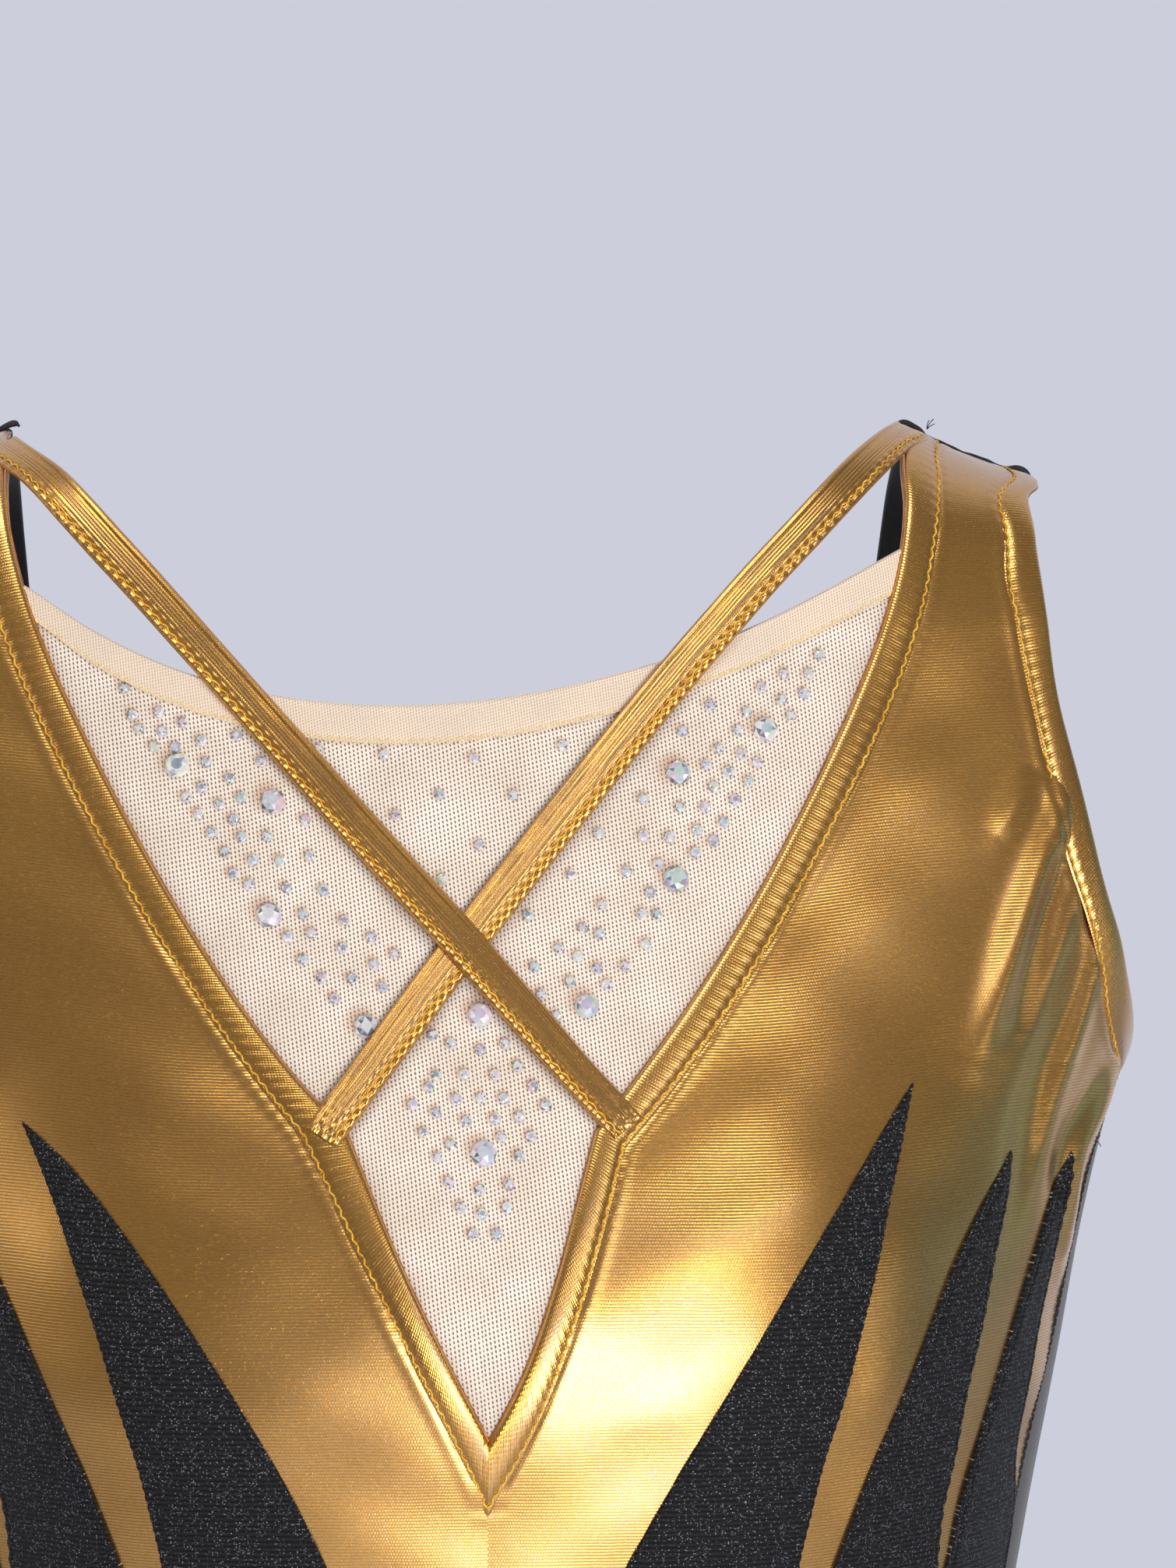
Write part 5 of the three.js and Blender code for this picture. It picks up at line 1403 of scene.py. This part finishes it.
def stone_mesh(r, h, sides, seed, dark_reflection_share=0.13):
    rr = np.random.default_rng(seed)
    table_r, mid_r = 0.44 * r, 0.80 * r
    a0 = rr.uniform(0, 2 * math.pi)
    A = a0 + np.arange(sides) * 2 * math.pi / sides
    B = A + math.pi / sides
    ring = lambda rad_, ang, z: np.stack([rad_ * np.cos(ang), rad_ * np.sin(ang), np.full(len(ang), z)], 1)
    V = np.vstack([ring(0.96 * r, A, 0), ring(r, A, 0.16 * h), ring(mid_r, B, 0.62 * h), ring(table_r, A, h)])
    n = sides; F = []
    F.append(tuple(range(n - 1, -1, -1)))
    for i in range(n):
        j = (i + 1) % n
        F.append((i, j, n + j, n + i))
        F.append((n + i, n + j, 2 * n + i))
        F.append((n + j, 2 * n + j, 2 * n + i))
        F.append((2 * n + i, 2 * n + j, 3 * n + j))
        F.append((2 * n + i, 3 * n + j, 3 * n + i))
    F.append(tuple(range(3 * n, 4 * n)))
    cols = []
    lean = rr.integers(0, len(AB), 3)
    for f in F:
        c = np.array(AB[rr.choice(lean) if rr.random() < 0.55 else rr.integers(0, len(AB))], float)
        c *= rr.uniform(0.86, 1.06)
        # painted reflection: a share of the facets painted dark navy, as facets mirroring the dim room
        if rr.random() < dark_reflection_share:
            c = c * 0.32 + np.array([10, 14, 26])
        cols.append(rgb(*np.clip(c, 0, 255)))
    c = np.array(AB[rr.integers(0, len(AB))]) * 0.9
    cols[-1] = rgb(*c)
    return V, F, cols


def seat(x, z):
    p = onfront([(x, z)])
    return p[0], pnormal(p)[0]


def stones(name, items, nodes, sides, hk, base, seed):
    V, F, C, n = [], [], [], 0
    for k, (x, z, r) in enumerate(items):
        p, nn = seat(x, z)
        rr = np.random.default_rng(seed + k)
        nn = nn + rr.normal(0, 0.045, 3); nn /= np.linalg.norm(nn)
        a = np.cross(nn, [0, 0, 1.0]); a /= np.linalg.norm(a); b = np.cross(nn, a)
        v, f, col = stone_mesh(r * rr.uniform(0.95, 1.05), hk * r, sides, seed + 31 * k)
        W = p + nn * base + v[:, :1] * a + v[:, 1:2] * -b + v[:, 2:] * nn
        V.append(W)
        for q, cc in zip(f, col):
            F.append(tuple(i + n for i in q)); C += [cc] * len(q)
        n += len(v)
    ob = make(name, np.concatenate(V), F, None, None, M_CRYSTAL, sharp=None, colors=np.array(C))
    me = ob.data
    me.polygons.foreach_set("use_smooth", np.zeros(len(me.polygons), dtype=bool))
    finish_piece(ob, nodes)
    return ob


for i, (x, z) in enumerate(BIG):
    stones(f"crystal_large_{i + 1:02d}", [(x, z, 2.95)], [f"rhinestone_large_{i + 1:02d}"], 8, 0.60, 1.32, 500 + i * 7)
stones("crystals_small", [(x, z, 1.30) for x, z in SMALL], [], 8, 0.78, 1.30, 900)


# ------------------------------------------------------------------ grain, stage, light
for o in list(bpy.data.objects):
    if o.type == "MESH":
        grainify(o)

stage_mat = Mat("pale floor", Roughness=0.9)
o_ = stage_mat.node("TexCoord", out=3)
sn = stage_mat.noise(o_, 1.2, 2.0)
stage_mat = stage_mat.set(Base_Color=stage_mat.mix(stage_mat.ramp(sn, 0.3, 0.7), rgb(204, 206, 216), rgb(212, 214, 224)))


def floor():
    n = 96; a = np.arange(n) * 2 * math.pi / n
    V = [(2.45 * math.cos(t), 2.45 * math.sin(t), -0.86) for t in a]
    me = bpy.data.meshes.new("floor"); me.from_pydata(V, [], [tuple(range(n))])
    ob = bpy.data.objects.new("floor", me); bpy.context.scene.collection.objects.link(ob)
    me.materials.append(stage_mat)


floor()


def area(name, loc, aim, size, watts, color=(1, 1, 1), size_y=None):
    d = bpy.data.lights.new(name, "AREA"); d.energy = watts; d.size = size; d.shape = "RECTANGLE"; d.color = color
    d.size_y = size_y or size
    ob = bpy.data.objects.new(name, d); bpy.context.scene.collection.objects.link(ob)
    ob.location = loc
    ob.rotation_mode = "QUATERNION"
    ob.rotation_quaternion = (Vector(aim) - Vector(loc)).to_track_quat("-Z", "Y")
    ob.visible_camera = False
    return ob


# studio: pale backdrop behind the garment, a dim room in front of it
world = bpy.data.worlds.new("studio"); bpy.context.scene.world = world
world.use_nodes = True
wt = world.node_tree
bg = wt.nodes["Background"]
wc = wt.nodes.new("ShaderNodeTexCoord"); sx = wt.nodes.new("ShaderNodeSeparateXYZ"); mr = wt.nodes.new("ShaderNodeMapRange")
wt.links.new(wc.outputs["Generated"], sx.inputs[0]); wt.links.new(sx.outputs[1], mr.inputs[0])
mr.interpolation_type = "SMOOTHSTEP"
mr.inputs[1].default_value, mr.inputs[2].default_value, mr.inputs[3].default_value, mr.inputs[4].default_value = -0.15, 0.45, 0.0, 1.0
mx = wt.nodes.new("ShaderNodeMix"); mx.data_type = "RGBA"
wt.links.new(mr.outputs[0], mx.inputs[0])
mx.inputs[6].default_value = (0.205, 0.190, 0.172, 1)
mx.inputs[7].default_value = rgb(204, 206, 219)
mr2 = wt.nodes.new("ShaderNodeMapRange"); mr2.interpolation_type = "SMOOTHSTEP"
wt.links.new(sx.outputs[0], mr2.inputs[0])
mr2.inputs[1].default_value, mr2.inputs[2].default_value, mr2.inputs[3].default_value, mr2.inputs[4].default_value = 0.78, 0.95, 0.0, 1.0
mr3 = wt.nodes.new("ShaderNodeMapRange"); mr3.interpolation_type = "SMOOTHSTEP"
wt.links.new(sx.outputs[1], mr3.inputs[0])
mr3.inputs[1].default_value, mr3.inputs[2].default_value, mr3.inputs[3].default_value, mr3.inputs[4].default_value = -0.45, -0.10, 0.0, 1.0
both = wt.nodes.new("ShaderNodeMath"); both.operation = "MULTIPLY"
wt.links.new(mr2.outputs[0], both.inputs[0]); wt.links.new(mr3.outputs[0], both.inputs[1])
mx2 = wt.nodes.new("ShaderNodeMix"); mx2.data_type = "RGBA"
wt.links.new(both.outputs[0], mx2.inputs[0]); wt.links.new(mx.outputs[2], mx2.inputs[6])
mx2.inputs[7].default_value = (0.09, 0.16, 0.22, 1)
wt.links.new(mx2.outputs[2], bg.inputs[0]); bg.inputs[1].default_value = 1.0
area("key", (0.36, -1.48, -0.41), (0.04, -0.1, -0.20), 0.42, 14.5, (1.0, 0.99, 0.98), size_y=0.76)
area("near", (0.25, -0.56, 0.05), (0.05, -0.09, -0.15), 0.24, 0.31, (1.0, 0.985, 0.96), size_y=0.08)
area("top", (-0.25, -0.75, 1.35), (0, 0, -0.1), 0.9, 10, (1.0, 0.98, 0.96), size_y=0.7)
area("left", (-1.7, -0.3, 0.3), (0, 0, -0.15), 0.7, 2.0, (1.0, 0.97, 0.93), size_y=1.0)
area("strip", (1.35, -0.58, -0.46), (0.10, -0.05, -0.20), 0.09, 0.45, (1.0, 0.97, 0.90), size_y=0.6)
area("right", (1.5, 0.15, -0.25), (0, 0, -0.15), 0.3, 0.45, (0.50, 0.78, 1.0), size_y=1.1)
bpy.context.scene.view_settings.view_transform = "Standard"
bpy.context.scene.view_settings.look = "None"
